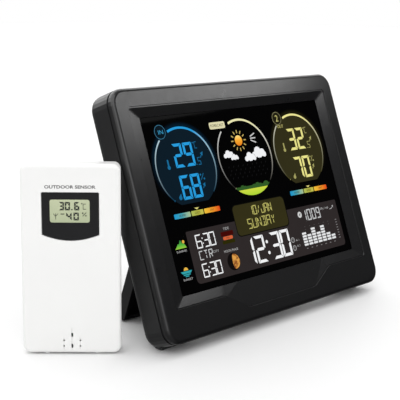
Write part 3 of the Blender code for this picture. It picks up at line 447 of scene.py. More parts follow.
def plates(name, outlines, layer, place, material, body, tones=None):
    """One piece made of thin printed plates."""
    bm = bmesh.new()
    for number, outline in enumerate(outlines):
        add_plate(bm, list(outline), layer, tones[number] if tones else None)
    bm.normal_update()
    wide = [face for face in bm.faces if len(face.verts) > 4]
    bmesh.ops.triangulate(bm, faces=wide, ngon_method="EAR_CLIP")
    mesh = bpy.data.meshes.new(name)
    bm.to_mesh(mesh)
    bm.free()
    mesh.transform(place)
    return finish_piece(link(name, mesh, material), body)


def disc(x, y, radius, count=40, start=0.0, sweep=2 * math.pi):
    """Points on a circle or an arc of it."""
    whole = abs(sweep - 2 * math.pi) < 1e-6
    steps = count if whole else count - 1
    angles = [start + sweep * step / steps for step in range(count)]
    return [(x + radius * math.cos(angle), y + radius * math.sin(angle)) for angle in angles]


def rounded(left, low, right, high, radii, count=6):
    """A rectangle with its own corner radius at bottom left, bottom right, top right and top left."""
    corners = (
        (left, low, 1, 1, math.pi),
        (right, low, -1, 1, 1.5 * math.pi),
        (right, high, -1, -1, 0.0),
        (left, high, 1, -1, 0.5 * math.pi),
    )
    points = []
    for (x, y, way_x, way_y, start), radius in zip(corners, radii):
        centre = (x + way_x * radius, y + way_y * radius)
        points += disc(*centre, radius, count, start, math.pi / 2)
    return points


def pill(left, low, right, high, radius):
    """A rectangle with four equal round corners."""
    return rounded(left, low, right, high, (radius,) * 4)


def stroke(start, end, width):
    """A straight bar between two points, with cut ends."""
    direction = (Vector(end) - Vector(start)).normalized()
    side = Vector((-direction.y, direction.x)) * width / 2
    ends = (Vector(start) - side, Vector(end) - side, Vector(end) + side, Vector(start) + side)
    return [tuple(point) for point in ends]


def dial_outline(x, y, radius, flat):
    """A disc cut off flat at a height below its middle."""
    low = math.asin((flat - y) / radius)
    return disc(x, y, radius, 64, low, math.pi - 2 * low)


def lettering(words, layer, weight=0.0):
    """Meshes of short words; each is (text, middle x, middle y, height, width or None), in millimetres."""
    parts = []
    for text, x, y, height, width in words:
        curve = bpy.data.curves.new("lettering", "FONT")
        curve.body = text
        curve.resolution_u = 3
        curve.offset = weight
        writer = link("lettering", curve)
        bpy.context.view_layer.update()
        mesh = bpy.data.meshes.new_from_object(writer.evaluated_get(bpy.context.evaluated_depsgraph_get()))
        bpy.data.objects.remove(writer)
        spots = [vertex.co for vertex in mesh.vertices]
        low = [min(spot[axis] for spot in spots) for axis in (0, 1)]
        high = [max(spot[axis] for spot in spots) for axis in (0, 1)]
        tall = height / (high[1] - low[1])
        wide = width / (high[0] - low[0]) if width else tall
        move = Matrix.Translation((x, y, layer[0])) @ Matrix.Diagonal((wide, tall, 1.0, 1.0))
        centre = Matrix.Translation((-(low[0] + high[0]) / 2, -(low[1] + high[1]) / 2, 0.0))
        mesh.transform(move @ centre)
        parts.append(thickened(mesh, layer[1] - layer[0]))
    return parts


def thickened(mesh, depth):
    """Gives a flat mesh that faces outward a thickness and a back, so that it is closed."""
    bm = bmesh.new()
    bm.from_mesh(mesh)
    bmesh.ops.remove_doubles(bm, verts=bm.verts, dist=1e-5)
    for face in bm.faces:
        if face.normal.z > 0:
            face.normal_flip()
    made = bmesh.ops.extrude_face_region(bm, geom=list(bm.faces), use_keep_orig=True)
    raised = [item for item in made["geom"] if isinstance(item, bmesh.types.BMVert)]
    bmesh.ops.translate(bm, verts=raised, vec=(0.0, 0.0, depth))
    bmesh.ops.recalc_face_normals(bm, faces=bm.faces)
    bm.to_mesh(mesh)
    bm.free()
    return mesh


def printed_words(name, words, layer, place, material, body, weight=0.0):
    """One piece of lettering."""
    bm = bmesh.new()
    for mesh in lettering(words, layer, weight):
        bm.from_mesh(mesh)
        bpy.data.meshes.remove(mesh)
    mesh = bpy.data.meshes.new(name)
    bm.to_mesh(mesh)
    bm.free()
    mesh.transform(place)
    return finish_piece(link(name, mesh, material), body)


# Bars of a segment display: a to g as usual, h to n the inner bars of a letter cell
CELL_BARS = {
    "0": "abcdef", "1": "bc", "2": "abged", "3": "abgcd", "4": "fgbc", "5": "afgcd", "6": "afgedc",
    "7": "abc", "8": "abcdefg", "9": "abcdfg", "A": "abcefg", "C": "afed", "D": "abcdjm", "J": "bcde",
    "N": "efbchl", "R": "abefgl", "S": "afgcd", "T": "ajm", "U": "bcdef", "Y": "hkm", "/": "kn", "-": "g",
    "E": "afged", "L": "def", "H": "bcefg", "O": "abcdef",
}


def bar_outlines(character, x, y, right, tall, thick):
    """Outlines of the lit bars of one cell; its lower left corner is at x, y and right is its width."""
    gap = thick * 0.12
    half, middle = thick / 2, tall / 2
    shapes = {
        "a": [(gap, tall), (thick + gap, tall - thick),
              (right - thick - gap, tall - thick), (right - gap, tall)],
        "d": [(gap, 0), (right - gap, 0), (right - thick - gap, thick), (thick + gap, thick)],
        "g": [(half + gap, middle), (thick + gap, middle - half),
              (right - thick - gap, middle - half), (right - half - gap, middle),
              (right - thick - gap, middle + half), (thick + gap, middle + half)],
        "f": [(0, tall - gap), (0, middle + gap), (half, middle + gap), (thick, middle + half + gap),
              (thick, tall - thick - gap)],
        "e": [(0, gap), (thick, thick + gap), (thick, middle - half - gap), (half, middle - gap),
              (0, middle - gap)],
    }
    shapes["b"] = [(right - px, py) for px, py in shapes["f"]]
    shapes["c"] = [(right - px, py) for px, py in shapes["e"]]
    thin = thick * 0.9
    centre = right / 2
    inner = {
        "h": ((thick * 1.2, tall - thick * 1.3), (centre - half, middle + half)),
        "k": ((right - thick * 1.2, tall - thick * 1.3), (centre + half, middle + half)),
        "n": ((thick * 1.2, thick * 1.3), (centre - half, middle - half)),
        "l": ((right - thick * 1.2, thick * 1.3), (centre + half, middle - half)),
        "j": ((centre, tall - thick - gap), (centre, middle + half + gap)),
        "m": ((centre, thick + gap), (centre, middle - half - gap)),
    }
    found = []
    for bar in CELL_BARS[character]:
        shape = shapes[bar] if bar in shapes else stroke(*inner[bar], thin)
        found.append([(x + px, y + py) for px, py in shape])
    return found


def reading(characters, starts, y, wide, tall, thick):
    """Outlines of a row of cells with these left edges."""
    found = []
    for character, x in zip(characters, starts):
        found += bar_outlines(character, x, y, wide, tall, thick)
    return found


# ---------------------------------------------------------------- geometry node trees


class Pattern(Tree):
    """A Geometry Nodes tree that makes a repeated shape from named sizes."""

    def __init__(self, name, inputs):
        tree = bpy.data.node_groups.new(name, "GeometryNodeTree")
        super().__init__(tree)
        tree.interface.new_socket("Geometry", in_out="INPUT", socket_type="NodeSocketGeometry")
        tree.interface.new_socket("Geometry", in_out="OUTPUT", socket_type="NodeSocketGeometry")
        for label, (kind, value) in inputs.items():
            socket = tree.interface.new_socket(label, in_out="INPUT", socket_type=kind)
            if value is not None:
                socket.default_value = value
        self.entry = tree.nodes.new("NodeGroupInput")
        self.exit = tree.nodes.new("NodeGroupOutput")

    def given(self, label):
        """A named input of the tree."""
        return Wire(self, self.entry.outputs[label])

    def end(self, shape):
        """Ends the tree: instances made real, then the material."""
        real = self.add("GeometryNodeRealizeInstances", values={0: shape})
        values = {"Geometry": real, "Material": self.given("Material")}
        dressed = self.add("GeometryNodeSetMaterial", values=values)
        self.tree.links.new(dressed.socket, self.exit.inputs[0])

    def spread(self, shape):
        """Puts a shape on every point, turned by the point's attribute turn."""
        turn = self.add("GeometryNodeInputNamedAttribute", {"data_type": "FLOAT"}, {"Name": "turn"})
        spin = self.add("ShaderNodeCombineXYZ", values={2: turn})
        values = {"Points": self.given("Geometry"), "Instance": shape, "Rotation": spin}
        return self.add("GeometryNodeInstanceOnPoints", values=values)

    def thick(self, sheet, depth):
        """Turns a sheet that faces up into a closed plate this deep."""
        up = self.add("ShaderNodeCombineXYZ", values={2: depth})
        values = {"Mesh": sheet, "Offset": up, "Offset Scale": 1.0, "Individual": False}
        raised = self.add("GeometryNodeExtrudeMesh", {"mode": "FACES"}, values)
        back = self.add("GeometryNodeFlipFaces", values={0: sheet})
        both = self.tree.nodes.new("GeometryNodeJoinGeometry")
        for part in (back, raised):
            self.tree.links.new(part.socket, both.inputs[0])
        values = {"Geometry": Wire(self, both.outputs[0]), "Distance": 0.0001}
        return self.add("GeometryNodeMergeByDistance", values=values)

    def moved(self, shape, rise):
        """Moves a shape along Z."""
        up = self.add("ShaderNodeCombineXYZ", values={2: rise})
        return self.add("GeometryNodeTransform", values={"Geometry": shape, "Translation": up})

    def combined(self, operation, first, *others):
        """Joins solids into one, or cuts the others out of the first."""
        node = self.tree.nodes.new("GeometryNodeMeshBoolean")
        node.operation = operation
        node.solver = "EXACT"
        cutting = operation == "DIFFERENCE"
        self.tree.links.new(first.socket, node.inputs[0 if cutting else 1])
        for other in others:
            self.tree.links.new(other.socket, node.inputs[1])
        return Wire(self, node.outputs[0])

    def bake(self, name, values, material, place, body, slot_name, points=()):
        """Runs the tree with these inputs on a set of points and keeps the result as one plain piece."""
        seed = bpy.data.meshes.new(name + "_points")
        seed.from_pydata([point[:3] for point in points], [], [])
        if points and len(points[0]) > 3:
            turns = seed.attributes.new("turn", "FLOAT", "POINT")
            turns.data.foreach_set("value", [point[3] for point in points])
        holder = link(name + "_points", seed)
        modifier = holder.modifiers.new(self.tree.name, "NODES")
        modifier.node_group = self.tree
        for item in self.tree.interface.items_tree:
            if item.item_type == "SOCKET" and item.in_out == "INPUT" and item.name in values:
                modifier[item.identifier] = values[item.name]
            elif item.item_type == "SOCKET" and item.in_out == "INPUT" and item.name == "Material":
                modifier[item.identifier] = material
        bpy.context.view_layer.update()
        evaluated = holder.evaluated_get(bpy.context.evaluated_depsgraph_get())
        mesh = bpy.data.meshes.new_from_object(evaluated)
        bpy.data.objects.remove(holder)
        mesh.name = name
        mesh.transform(place)
        return finish_piece(link(name, mesh), body)


def ring_pattern():
    """Two arcs of a dial's ring, each wider at its bright end, with the attribute along for the colour."""
    inputs = {
        "Radius": ("NodeSocketFloat", 24.5),
        "Left start": ("NodeSocketFloat", 2.3),
        "Left sweep": ("NodeSocketFloat", 1.6),
        "Right start": ("NodeSocketFloat", 1.9),
        "Right sweep": ("NodeSocketFloat", -2.6),
        "Wide": ("NodeSocketFloat", 1.7),
        "Narrow": ("NodeSocketFloat", 0.8),
        "Base": ("NodeSocketFloat", 0.03),
        "Depth": ("NodeSocketFloat", 0.03),
        "Material": ("NodeSocketMaterial", None),
    }
    tree = Pattern("dial_ring", inputs)
    arcs = tree.tree.nodes.new("GeometryNodeJoinGeometry")
    for label, offset, widest in (("Left", 0.0, 0.62), ("Right", 0.5, 1.0)):
        grid = {"Size X": 1.0, "Size Y": 1.0, "Vertices X": 60, "Vertices Y": 2}
        sheet = tree.add("GeometryNodeMeshGrid", values=grid)
        x, y, z = tree.parts(tree.add("GeometryNodeInputPosition"))
        share = x + 0.5
        angle = tree.given(label + " start") + share * tree.given(label + " sweep")
        breadth = tree.given("Wide") * widest * (1 - share) + tree.given("Narrow") * share
        radius = tree.given("Radius") - breadth * (y + 0.5)
        spot = {0: radius * angle.maths("COSINE"), 1: radius * angle.maths("SINE"), 2: tree.given("Base")}
        toned = tree.add(
            "GeometryNodeStoreNamedAttribute",
            {"data_type": "FLOAT", "domain": "POINT"},
            {"Geometry": sheet, "Name": "along", "Value": share * 0.5 + offset},
        )
        values = {"Geometry": toned, "Position": tree.add("ShaderNodeCombineXYZ", values=spot)}
        bent = tree.add("GeometryNodeSetPosition", values=values)
        if label == "Right":
            bent = tree.add("GeometryNodeFlipFaces", values={0: bent})
        solid = tree.thick(bent, tree.given("Depth"))
        tree.tree.links.new(solid.socket, arcs.inputs[0])
    tree.end(Wire(tree, arcs.outputs[0]))
    return tree


def plate_pattern():
    """A small plate with rounded corners on every point, turned by the point's attribute turn."""
    inputs = {
        "Width": ("NodeSocketFloat", 1.0),
        "Height": ("NodeSocketFloat", 1.0),
        "Corner": ("NodeSocketFloat", 0.2),
        "Depth": ("NodeSocketFloat", 0.03),
        "Material": ("NodeSocketMaterial", None),
    }
    tree = Pattern("plates_on_points", inputs)
    values = {"Width": tree.given("Width"), "Height": tree.given("Height")}
    outline = tree.add("GeometryNodeCurvePrimitiveQuadrilateral", values=values)
    values = {"Curve": outline, "Count": 3, "Radius": tree.given("Corner")}
    soft = tree.add("GeometryNodeFilletCurve", {"mode": "POLY"}, values)
    sheet = tree.add("GeometryNodeFillCurve", {"mode": "NGONS"}, {0: soft})
    tree.end(tree.spread(tree.thick(sheet, tree.given("Depth"))))
    return tree


def screw_pattern():
    """A pan-head screw with a cross recess on every point; the top of its head is at the point."""
    inputs = {
        "Head radius": ("NodeSocketFloat", 2.5),
        "Head height": ("NodeSocketFloat", 1.6),
        "Shank radius": ("NodeSocketFloat", 1.2),
        "Length": ("NodeSocketFloat", 10.5),
        "Recess width": ("NodeSocketFloat", 0.75),
        "Material": ("NodeSocketMaterial", None),
    }
    tree = Pattern("cross_recess_screws", inputs)
    radius, tall = tree.given("Head radius"), tree.given("Head height")
    values = {"Vertices": 32, "Radius Top": radius * 0.72, "Radius Bottom": radius, "Depth": tall * 0.4}
    crown = tree.moved(tree.add("GeometryNodeMeshCone", values=values), tall * -0.4)
    values = {"Vertices": 32, "Radius": radius, "Depth": tall * 0.65}
    band = tree.moved(tree.add("GeometryNodeMeshCylinder", values=values), tall * -0.675)
    long = tree.given("Length") - tall * 0.8
    values = {"Vertices": 20, "Radius": tree.given("Shank radius"), "Depth": long}
    shank = tree.add("GeometryNodeMeshCylinder", values=values)
    solid = tree.combined("UNION", crown, band, tree.moved(shank, tall * -0.8 - long * 0.5))
    wide, narrow = radius * 1.1, tree.given("Recess width")
    arms = []
    for x, y in ((wide, narrow), (narrow, wide)):
        size = tree.add("ShaderNodeCombineXYZ", values={0: x, 1: y, 2: tall * 1.2})
        arms.append(tree.add("GeometryNodeMeshCube", values={0: size}))
    tree.end(tree.spread(tree.combined("DIFFERENCE", solid, *arms)))
    return tree


# ---------------------------------------------------------------- lit display


def tinted(name, tint):
    """The glowing finish for a tint that is a colour; a finish stays as it is."""
    return lit_print(f"{name}_tint", tint) if isinstance(tint, tuple) else tint


def glow(name, outlines, tint, layer=PRINT_LAYER, tones=None):
    """One glowing piece of the console's display, made of plates."""
    return plates(name, outlines, layer, display_place(), tinted(name, tint), "console", tones)


def glow_words(name, words, tint):
    """One glowing piece of lettering on the console's display."""
    return printed_words(name, words, TOP_LAYER, display_place(), tinted(name, tint), "console")


def glow_bars(pattern, name, size, tint, points):
    """One glowing piece of equal bars on points; size is width, height, corner and depth."""
    values = dict(zip(("Width", "Height", "Corner", "Depth"), size))
    return pattern.bake(name, values, tinted(name, tint), display_place(), "console", "lens", points)


# ---------------------------------------------------------------- operators


def place_bar(x, y, layer=PRINT_LAYER, turn=0.0):
    """A point for a plate pattern, at a place on the face and turned."""
    return (x, y, layer[0], turn)


class STATION_OT_stage(bpy.types.Operator):
    """Adds the camera, the pale floor and the soft studio light"""

    bl_idname = "station.stage"
    bl_label = "Stage"

    def execute(self, context):
        scene = context.scene
        scene.view_settings.view_transform = "Standard"
        camera = bpy.data.objects.new("camera", bpy.data.cameras.new("camera"))
        scene.collection.objects.link(camera)
        face = display_place().translation + FACE_RIGHT * sizes().artwork_shift
        face += FACE_OUT * FRONT_OF_LENS + FACE_UP * AIM_RISE
        camera.location = face + CAMERA_FROM
        aim = (CAMERA_AT - CAMERA_FROM).to_track_quat("-Z", "Y")
        camera.rotation_euler = (aim @ Quaternion((0.0, 0.0, 1.0), CAMERA_ROLL)).to_euler()
        camera.data.lens = FOCAL_LENGTH
        camera.data.sensor_width = 36.0
        camera.data.clip_start = 0.01
        scene.camera = camera
        self.add_floor()
        self.add_light(scene)
        return {"FINISHED"}

    def add_floor(self):
        """A wide pale floor under the object."""
        floor_finish = Finish("pale_floor", (0.90, 0.90, 0.90), 0.6)
        cloud = floor_finish.noise(4.0, 2.0)
        floor_finish.set("Base Color", floor_finish.mix(cloud, (0.89, 0.89, 0.89), (0.92, 0.92, 0.92)))
        bm = bmesh.new()
        bmesh.ops.create_grid(bm, x_segments=8, y_segments=8, size=6.0)
        mesh = bpy.data.meshes.new("floor")
        bm.to_mesh(mesh)
        bm.free()
        mesh.transform(Matrix.Translation((0.0, 0.0, -0.0002)))
        floor = link("floor", mesh, floor_finish.material)
        floor.visible_glossy = False

    def add_light(self, scene):
        """An even surround with a dim side, large soft lamps, and a strip lamp seen only in reflections."""
        scene.world = bpy.data.worlds.new("studio")
        scene.world.use_nodes = True
        studio = Tree(scene.world.node_tree)
        surround = studio.tree.nodes["Background"]
        x, y, z = studio.parts(studio.add("ShaderNodeTexCoord"))
        level = (x * x + y * y).maths("SQRT")
        away = ((x * AWAY.x + y * AWAY.y) / level).step(0.62, 0.88)
        dim_side = z.step(0.04, 0.16) * 0.11
        open_side = 0.26 + z.step(0.0, 0.5) * 2.4
        seen = away * dim_side + (1 - away) * open_side
        path = studio.add("ShaderNodeLightPath").socket.node
        camera_ray = Wire(studio, path.outputs["Is Camera Ray"])
        glossy_ray = Wire(studio, path.outputs["Is Glossy Ray"])
        strength = camera_ray + (1 - camera_ray) * (glossy_ray * seen + (1 - glossy_ray))
        studio.tree.links.new(strength.socket, surround.inputs["Strength"])
        surround.inputs["Color"].default_value = (1.0, 1.0, 1.0, 1.0)
        for name, place, size, power in (
            ("key_light", Vector((-0.9, -0.9, 1.3)), 1.2, 4.0),
            ("top_light", Vector((0.3, 0.2, 1.6)), 1.4, 3.0),
        ):
            turn = (Vector((0.0, 0.0, 0.05)) - place).to_track_quat("-Z", "Y")
            lamp = self.add_lamp(scene, name, place, turn, power)
            lamp.data.size = size
            lamp.visible_glossy = False
        slant = Quaternion((0.0, 0.0, 1.0), math.radians(-21.0))
        place = AWAY * 0.28 + Vector((-0.013, -0.015, 0.276))
        strip = self.add_lamp(scene, "strip_light", place, AWAY.to_track_quat("Z", "Y") @ slant, 0.25)
        strip.data.shape = "RECTANGLE"
        strip.data.size = 0.24
        strip.data.size_y = 0.055
        strip.visible_camera = False
        strip.visible_diffuse = False

    def add_lamp(self, scene, name, place, turn, power):
        """An area lamp at a place, turned."""
        lamp = bpy.data.objects.new(name, bpy.data.lights.new(name, "AREA"))
        lamp.data.energy = power
        lamp.location = place
        lamp.rotation_euler = turn.to_euler()
        scene.collection.objects.link(lamp)
        return lamp


class STATION_OT_mouldings(bpy.types.Operator):
    """Gives the console's and the sensor's mouldings their plastics"""

    bl_idname = "station.mouldings"
    bl_label = "Mouldings"

    def execute(self, context):
        tones = colours()
        case = moulded_plastic("charcoal_plastic", tuple(tones.case), 0.29, 0.000012)
        key = moulded_plastic("key_plastic", shade(tuple(tones.case), 0.7), 0.5, 0.00003)
        white = moulded_plastic("white_plastic", tuple(tones.sensor), 0.36, 0.00002, 0.02)
        for name, node in NODES.items():
            if name in CASE_NODES:
                dress(node, case)
            elif name.startswith("key_"):
                dress(node, key)
            elif name in WHITE_NODES:
                dress(node, white)
        return {"FINISHED"}


def dress(node, material):
    """Puts one material on a CAD node."""
    node.data.materials.clear()
    node.data.materials.append(material)


class STATION_OT_fittings(bpy.types.Operator):
    """Gives the screws, cells, boards, feet and other small parts their finishes"""

    bl_idname = "station.fittings"
    bl_label = "Small parts"

    def execute(self, context):
        screw = plated_metal("plated_screw", (0.42, 0.42, 0.44), 0.34)
        spring = plated_metal("nickel_spring", (0.62, 0.60, 0.55), 0.28)
        rubber = soft_rubber("black_rubber", (0.018, 0.018, 0.019))
        board = circuit_board("green_board")
        black = moulded_plastic("black_component", (0.016, 0.016, 0.017), 0.45, 0.00002)
        diffuser = moulded_plastic("white_diffuser", (0.80, 0.82, 0.82), 0.4, 0.00002, 0.02)
        film = gloss_plastic("display_film", (0.012, 0.012, 0.014), 0.12)
        flex = gloss_plastic("amber_film", (0.36, 0.15, 0.03), 0.3)
        long_cell = cell_sleeve("console_cell_sleeve", tuple(FACE_RIGHT))
        short_cell = cell_sleeve("sensor_cell_sleeve", (0.0, 0.0, 1.0))
        window = gloss_plastic("sensor_window_plastic", (0.010, 0.010, 0.011), 0.05)
        choices = {
            "rear_screw": screw, "sensor_screw": screw, "battery_contact": spring, "sensor_contact": spring,
            "sensor_antenna": spring, "foot_pad": rubber, "stand_pad": rubber, "main_board": board,
            "receiver_board": board, "touch_electrode": board, "climate_probe": board, "sensor_board": board,
            "sensor_probe": board, "buzzer": black, "dc_socket": black, "sensor_channel_switch": black,
            "sensor_tx_button": black, "backlight_panel": diffuser, "lcd_glass": film, "lcd_ribbon": flex,
            "battery_1": long_cell, "battery_2": long_cell, "battery_3": long_cell,
            "sensor_battery_1": short_cell, "sensor_battery_2": short_cell, "sensor_window": window,
        }
        for name, node in NODES.items():
            for start, material in choices.items():
                if name.startswith(start) and name != "sensor_battery_door":
                    dress(node, material)
        dress(NODES["sensor_lcd"], gloss_plastic("segment_display_edge", (0.30, 0.33, 0.25), 0.2))
        dress(NODES["display_lens"], self.lens())
        return {"FINISHED"}

    def lens(self):
        """Near-black lens with smears, and the faint halo that each lit ring throws behind it."""
        sockets = {"Emission_Strength": 1.0, "Specular_IOR_Level": PRINT_GLOSS}
        finish = Finish("display_lens_plastic", (0.001, 0.001, 0.0011), 0.05, **sockets)
        smear = finish.noise(45.0, 4.0)
        finish.set("Roughness", 0.04 + smear.step(0.5, 0.8) * 0.05)
        place = display_place()
        x, y, z = finish.parts(finish.position())
        spacing = sizes().dial_spacing
        radius = sizes().dial_radius
        light = []
        for side, tint in ((-1, (0.001, 0.012, 0.026)), (1, (0.012, 0.011, 0.003))):
            centre = place @ Vector((side * spacing / MM, DIAL_MIDDLE, 0.0))
            across = x - centre.x
            rise = (z - centre.z) / FACE_UP.z
            far = (across * across + rise * rise).maths("SQRT")
            halo = 1 - (far - radius).maths("ABSOLUTE").step(0.0, 0.0035)
            upper = (rise / radius).step(-0.8, 0.6)
            part = finish.mix(halo * upper, (0.0, 0.0, 0.0), tint)
            light.append(part)
        adding = {"data_type": "RGBA", "blend_type": "ADD"}
        both = finish.add("ShaderNodeMix", adding, {0: 1.0, 6: light[0], 7: light[1]}, output=2)
        finish.set("Emission Color", both)
        return finish.material


class STATION_OT_panels(bpy.types.Operator):
    """Adds the tinted fields of the display"""

    bl_idname = "station.panels"
    bl_label = "Display fields"

    def execute(self, context):
        tones = colours()
        spacing = sizes().dial_spacing / MM
        radius = sizes().dial_radius / MM
        for name, side, tint in (
            ("indoor", -1, (0.003, 0.011, 0.020)),
            ("outdoor", 1, (0.030, 0.027, 0.009)),
        ):
            outline = dial_outline(side * spacing, DIAL_MIDDLE, radius - 0.4, DIAL_FLAT)
            glow(f"{name}_field", [outline], tint, layer=FILL_LAYER)
        shape = rounded(-65.9, -43.8, 76.6, -12.8, (3.0, 2.4, 1.0, 0.8))
        glow("lower_panel", [shape], tuple(tones.panel), layer=FILL_LAYER)
        # A near-black rim round the date panel: painted shadow under it.
        shadow = pill(-23.9, -22.9, 25.4, -3.1, 3.2)
        glow("date_panel_edge", [shadow], (0.003, 0.003, 0.002), layer=(0.032, 0.036))
        shape = pill(-23.3, -22.3, 24.8, -3.6, 3.0)
        glow("date_panel", [shape], tuple(tones.date_panel), layer=(0.038, 0.050))
        return {"FINISHED"}


class STATION_OT_rings(bpy.types.Operator):
    """Adds the rings of the three dials and their badges"""

    bl_idname = "station.rings"
    bl_label = "Dial rings"

    def execute(self, context):
        tree = ring_pattern()
        place = display_place()
        spacing = sizes().dial_spacing / MM
        dials = (
            ("indoor_ring", -spacing, DIAL_MIDDLE,
             (0.45, 0.62, 0.70), tuple(colours().indoor), (0.30, 0.50, 0.62), (0.006, 0.040, 0.075)),
            ("forecast_ring", 0.0, FORECAST_MIDDLE,
             (0.62, 0.62, 0.60), (0.83, 0.80, 0.45), (0.66, 0.64, 0.56), (0.020, 0.019, 0.016)),
            ("outdoor_ring", spacing, DIAL_MIDDLE,
             (0.55, 0.54, 0.42), (0.86, 0.80, 0.30), (0.50, 0.48, 0.30), (0.050, 0.045, 0.012)),
        )
        for name, x, y, left, bright, middle, dim in dials:
            stops = [(0.0, left), (0.22, shade(left, 0.55)), (0.46, dim), (0.4999, dim), (0.5, bright),
                     (0.66, bright), (0.76, middle), (0.88, shade(middle, 0.45)), (1.0, dim)]
            values = {
                "Radius": sizes().dial_radius / MM,
                "Left start": math.radians(133.0),
                "Left sweep": math.radians(97.0),
                "Right start": math.radians(111.5),
                "Right sweep": math.radians(-156.0),
                "Wide": sizes().ring_width / MM,
                "Narrow": 0.7,
                "Base": PRINT_LAYER[0],
                "Depth": PRINT_LAYER[1] - PRINT_LAYER[0],
            }
            spot = place @ Matrix.Translation((x, y, 0.0))
            tree.bake(name, values, graded_print(name + "_tint", stops), spot, "console", "lens")
        self.add_badges(spacing)
        return {"FINISHED"}

    def add_badges(self, spacing):
        """The small round badges at the upper left of the side dials."""
        for name, side, tint, dark in (
            ("indoor_badge", -1, (0.05, 0.22, 0.36), (0.002, 0.008, 0.014)),
            ("outdoor_badge", 1, (0.30, 0.28, 0.14), (0.014, 0.013, 0.005)),
        ):
            x, y = side * spacing - 14.5, DIAL_MIDDLE + 22.4
            glow(name, [disc(x, y, 4.3, 40)], tint, layer=(0.032, 0.040))
            glow(name + "_field", [disc(x, y, 4.0, 40)], dark, layer=(0.042, 0.050))


class STATION_OT_readings(bpy.types.Operator):
    """Adds the numerals and letters of the display's readings"""

    bl_idname = "station.readings"
    bl_label = "Readings"

    def execute(self, context):
        spacing = sizes().dial_spacing / MM
        tall = sizes().reading_height / MM
        tones = colours()
        for name, side, first, second, tint in (
            ("indoor", -1, "29", "68", tuple(tones.indoor)),
            ("outdoor", 1, "32", "70", tuple(tones.outdoor)),
        ):
            x = side * spacing
            starts = (x - 8.2, x + 0.5)
            shapes = reading(first, starts, 24.5, 7.6, tall, 1.75)
            shapes += reading(second, starts, 5.4, 7.6, tall, 1.75)
            material = lit_print(f"{name}_numerals", tint)
            glow(f"{name}_readings", shapes, material)
            faint = lit_print(f"{name}_small_print", shade(tint, 0.45))
            glow(f"{name}_small_signs", self.small_signs(x), faint)
        white = lit_print("clock_white", tuple(tones.clock))
        high = sizes().clock_height / MM
        clock = []
        for figures, starts, wide in (("1", (-17.3,), 4.6), ("2", (-11.4,), 9.0), ("30", (3.6, 13.0), 8.8)):
            clock += reading(figures, starts, -41.3, wide, high, 1.8)
        clock += [disc(0.0, -29.4, 1.05, 16), disc(0.0, -36.3, 1.05, 16)]
        glow("clock_reading", clock, white)
        small = []
        for low in (-23.9, -41.1):
            for figure, x, wide in (("6", -59.6, 4.8), ("3", -53.1, 4.5), ("0", -48.3, 4.8)):
                small += reading(figure, (x,), low, wide, 8.2, 0.74)
            small += [disc(-54.0, low + 2.6, 0.42, 12), disc(-54.0, low + 5.6, 0.42, 12)]
        glow("sun_times", small, white)
        grey = lit_print("thin_white", shade(tuple(tones.clock), 0.62))
        thin = reading("CTR", (-59.4, -55.4, -51.4), -30.8, 3.3, 5.4, 0.6)
        thin += reading("1", (39.0,), -22.5, 4.4, 7.3, 0.85)
        thin += reading("009", (44.4, 49.2, 54.0), -22.5, 3.9, 7.3, 0.85)
        glow("pressure_and_city", thin, grey)
        olive = lit_print("date_numerals", (0.50, 0.47, 0.13))
        date = reading("10/JAN", (-8.9, -5.3, -1.9, 1.9, 5.4, 8.9), -11.4, 3.1, 5.9, 0.62)
        date += reading("SUNDAY", (-12.9, -8.5, -4.1, 0.3, 4.7, 9.1), -19.4, 3.7, 6.3, 0.62)
        glow("date_reading", date, olive, layer=TOP_LAYER)
        return {"FINISHED"}

    def small_signs(self, x):
        """Degree, percent, decimal, trend and icon marks round a dial's readings."""
        signs = reading("5", (x + 10.2,), 24.5, 2.5, 4.6, 0.42)
        signs += [disc(x + 9.3, 24.8, 0.30, 10)]
        signs += reading("C", (x + 10.2,), 34.5, 2.3, 4.2, 0.42)
        signs += [disc(x + 9.2, 38.2, 0.45, 12)]
        signs += [stroke((x + 9.4, 15.4), (x + 12.2, 19.2), 0.42)]
        signs += [disc(x + 9.6, 18.6, 0.62, 12), disc(x + 12.1, 15.9, 0.62, 12)]
        signs += [stroke((x + 13.0, 28.6), (x + 14.8, 30.9), 0.5)]
        signs += [[(x + 15.9, 32.2), (x + 13.5, 31.3), (x + 15.2, 29.6)]]
        signs += [stroke((x + 9.6, 10.4), (x + 10.8, 12.2), 0.5)]
        signs += [[(x + 11.9, 13.7), (x + 9.7, 12.7), (x + 11.4, 11.1)]]
        signs += [pill(x - 14.55, 26.2, x - 13.35, 30.2, 0.59), disc(x - 13.95, 25.4, 1.2, 20)]
        drop = disc(x - 10.6, 7.0, 1.25, 13, math.radians(150.0), math.radians(240.0))
        signs += [drop + [(x - 9.6, 9.6)]]
        return signs


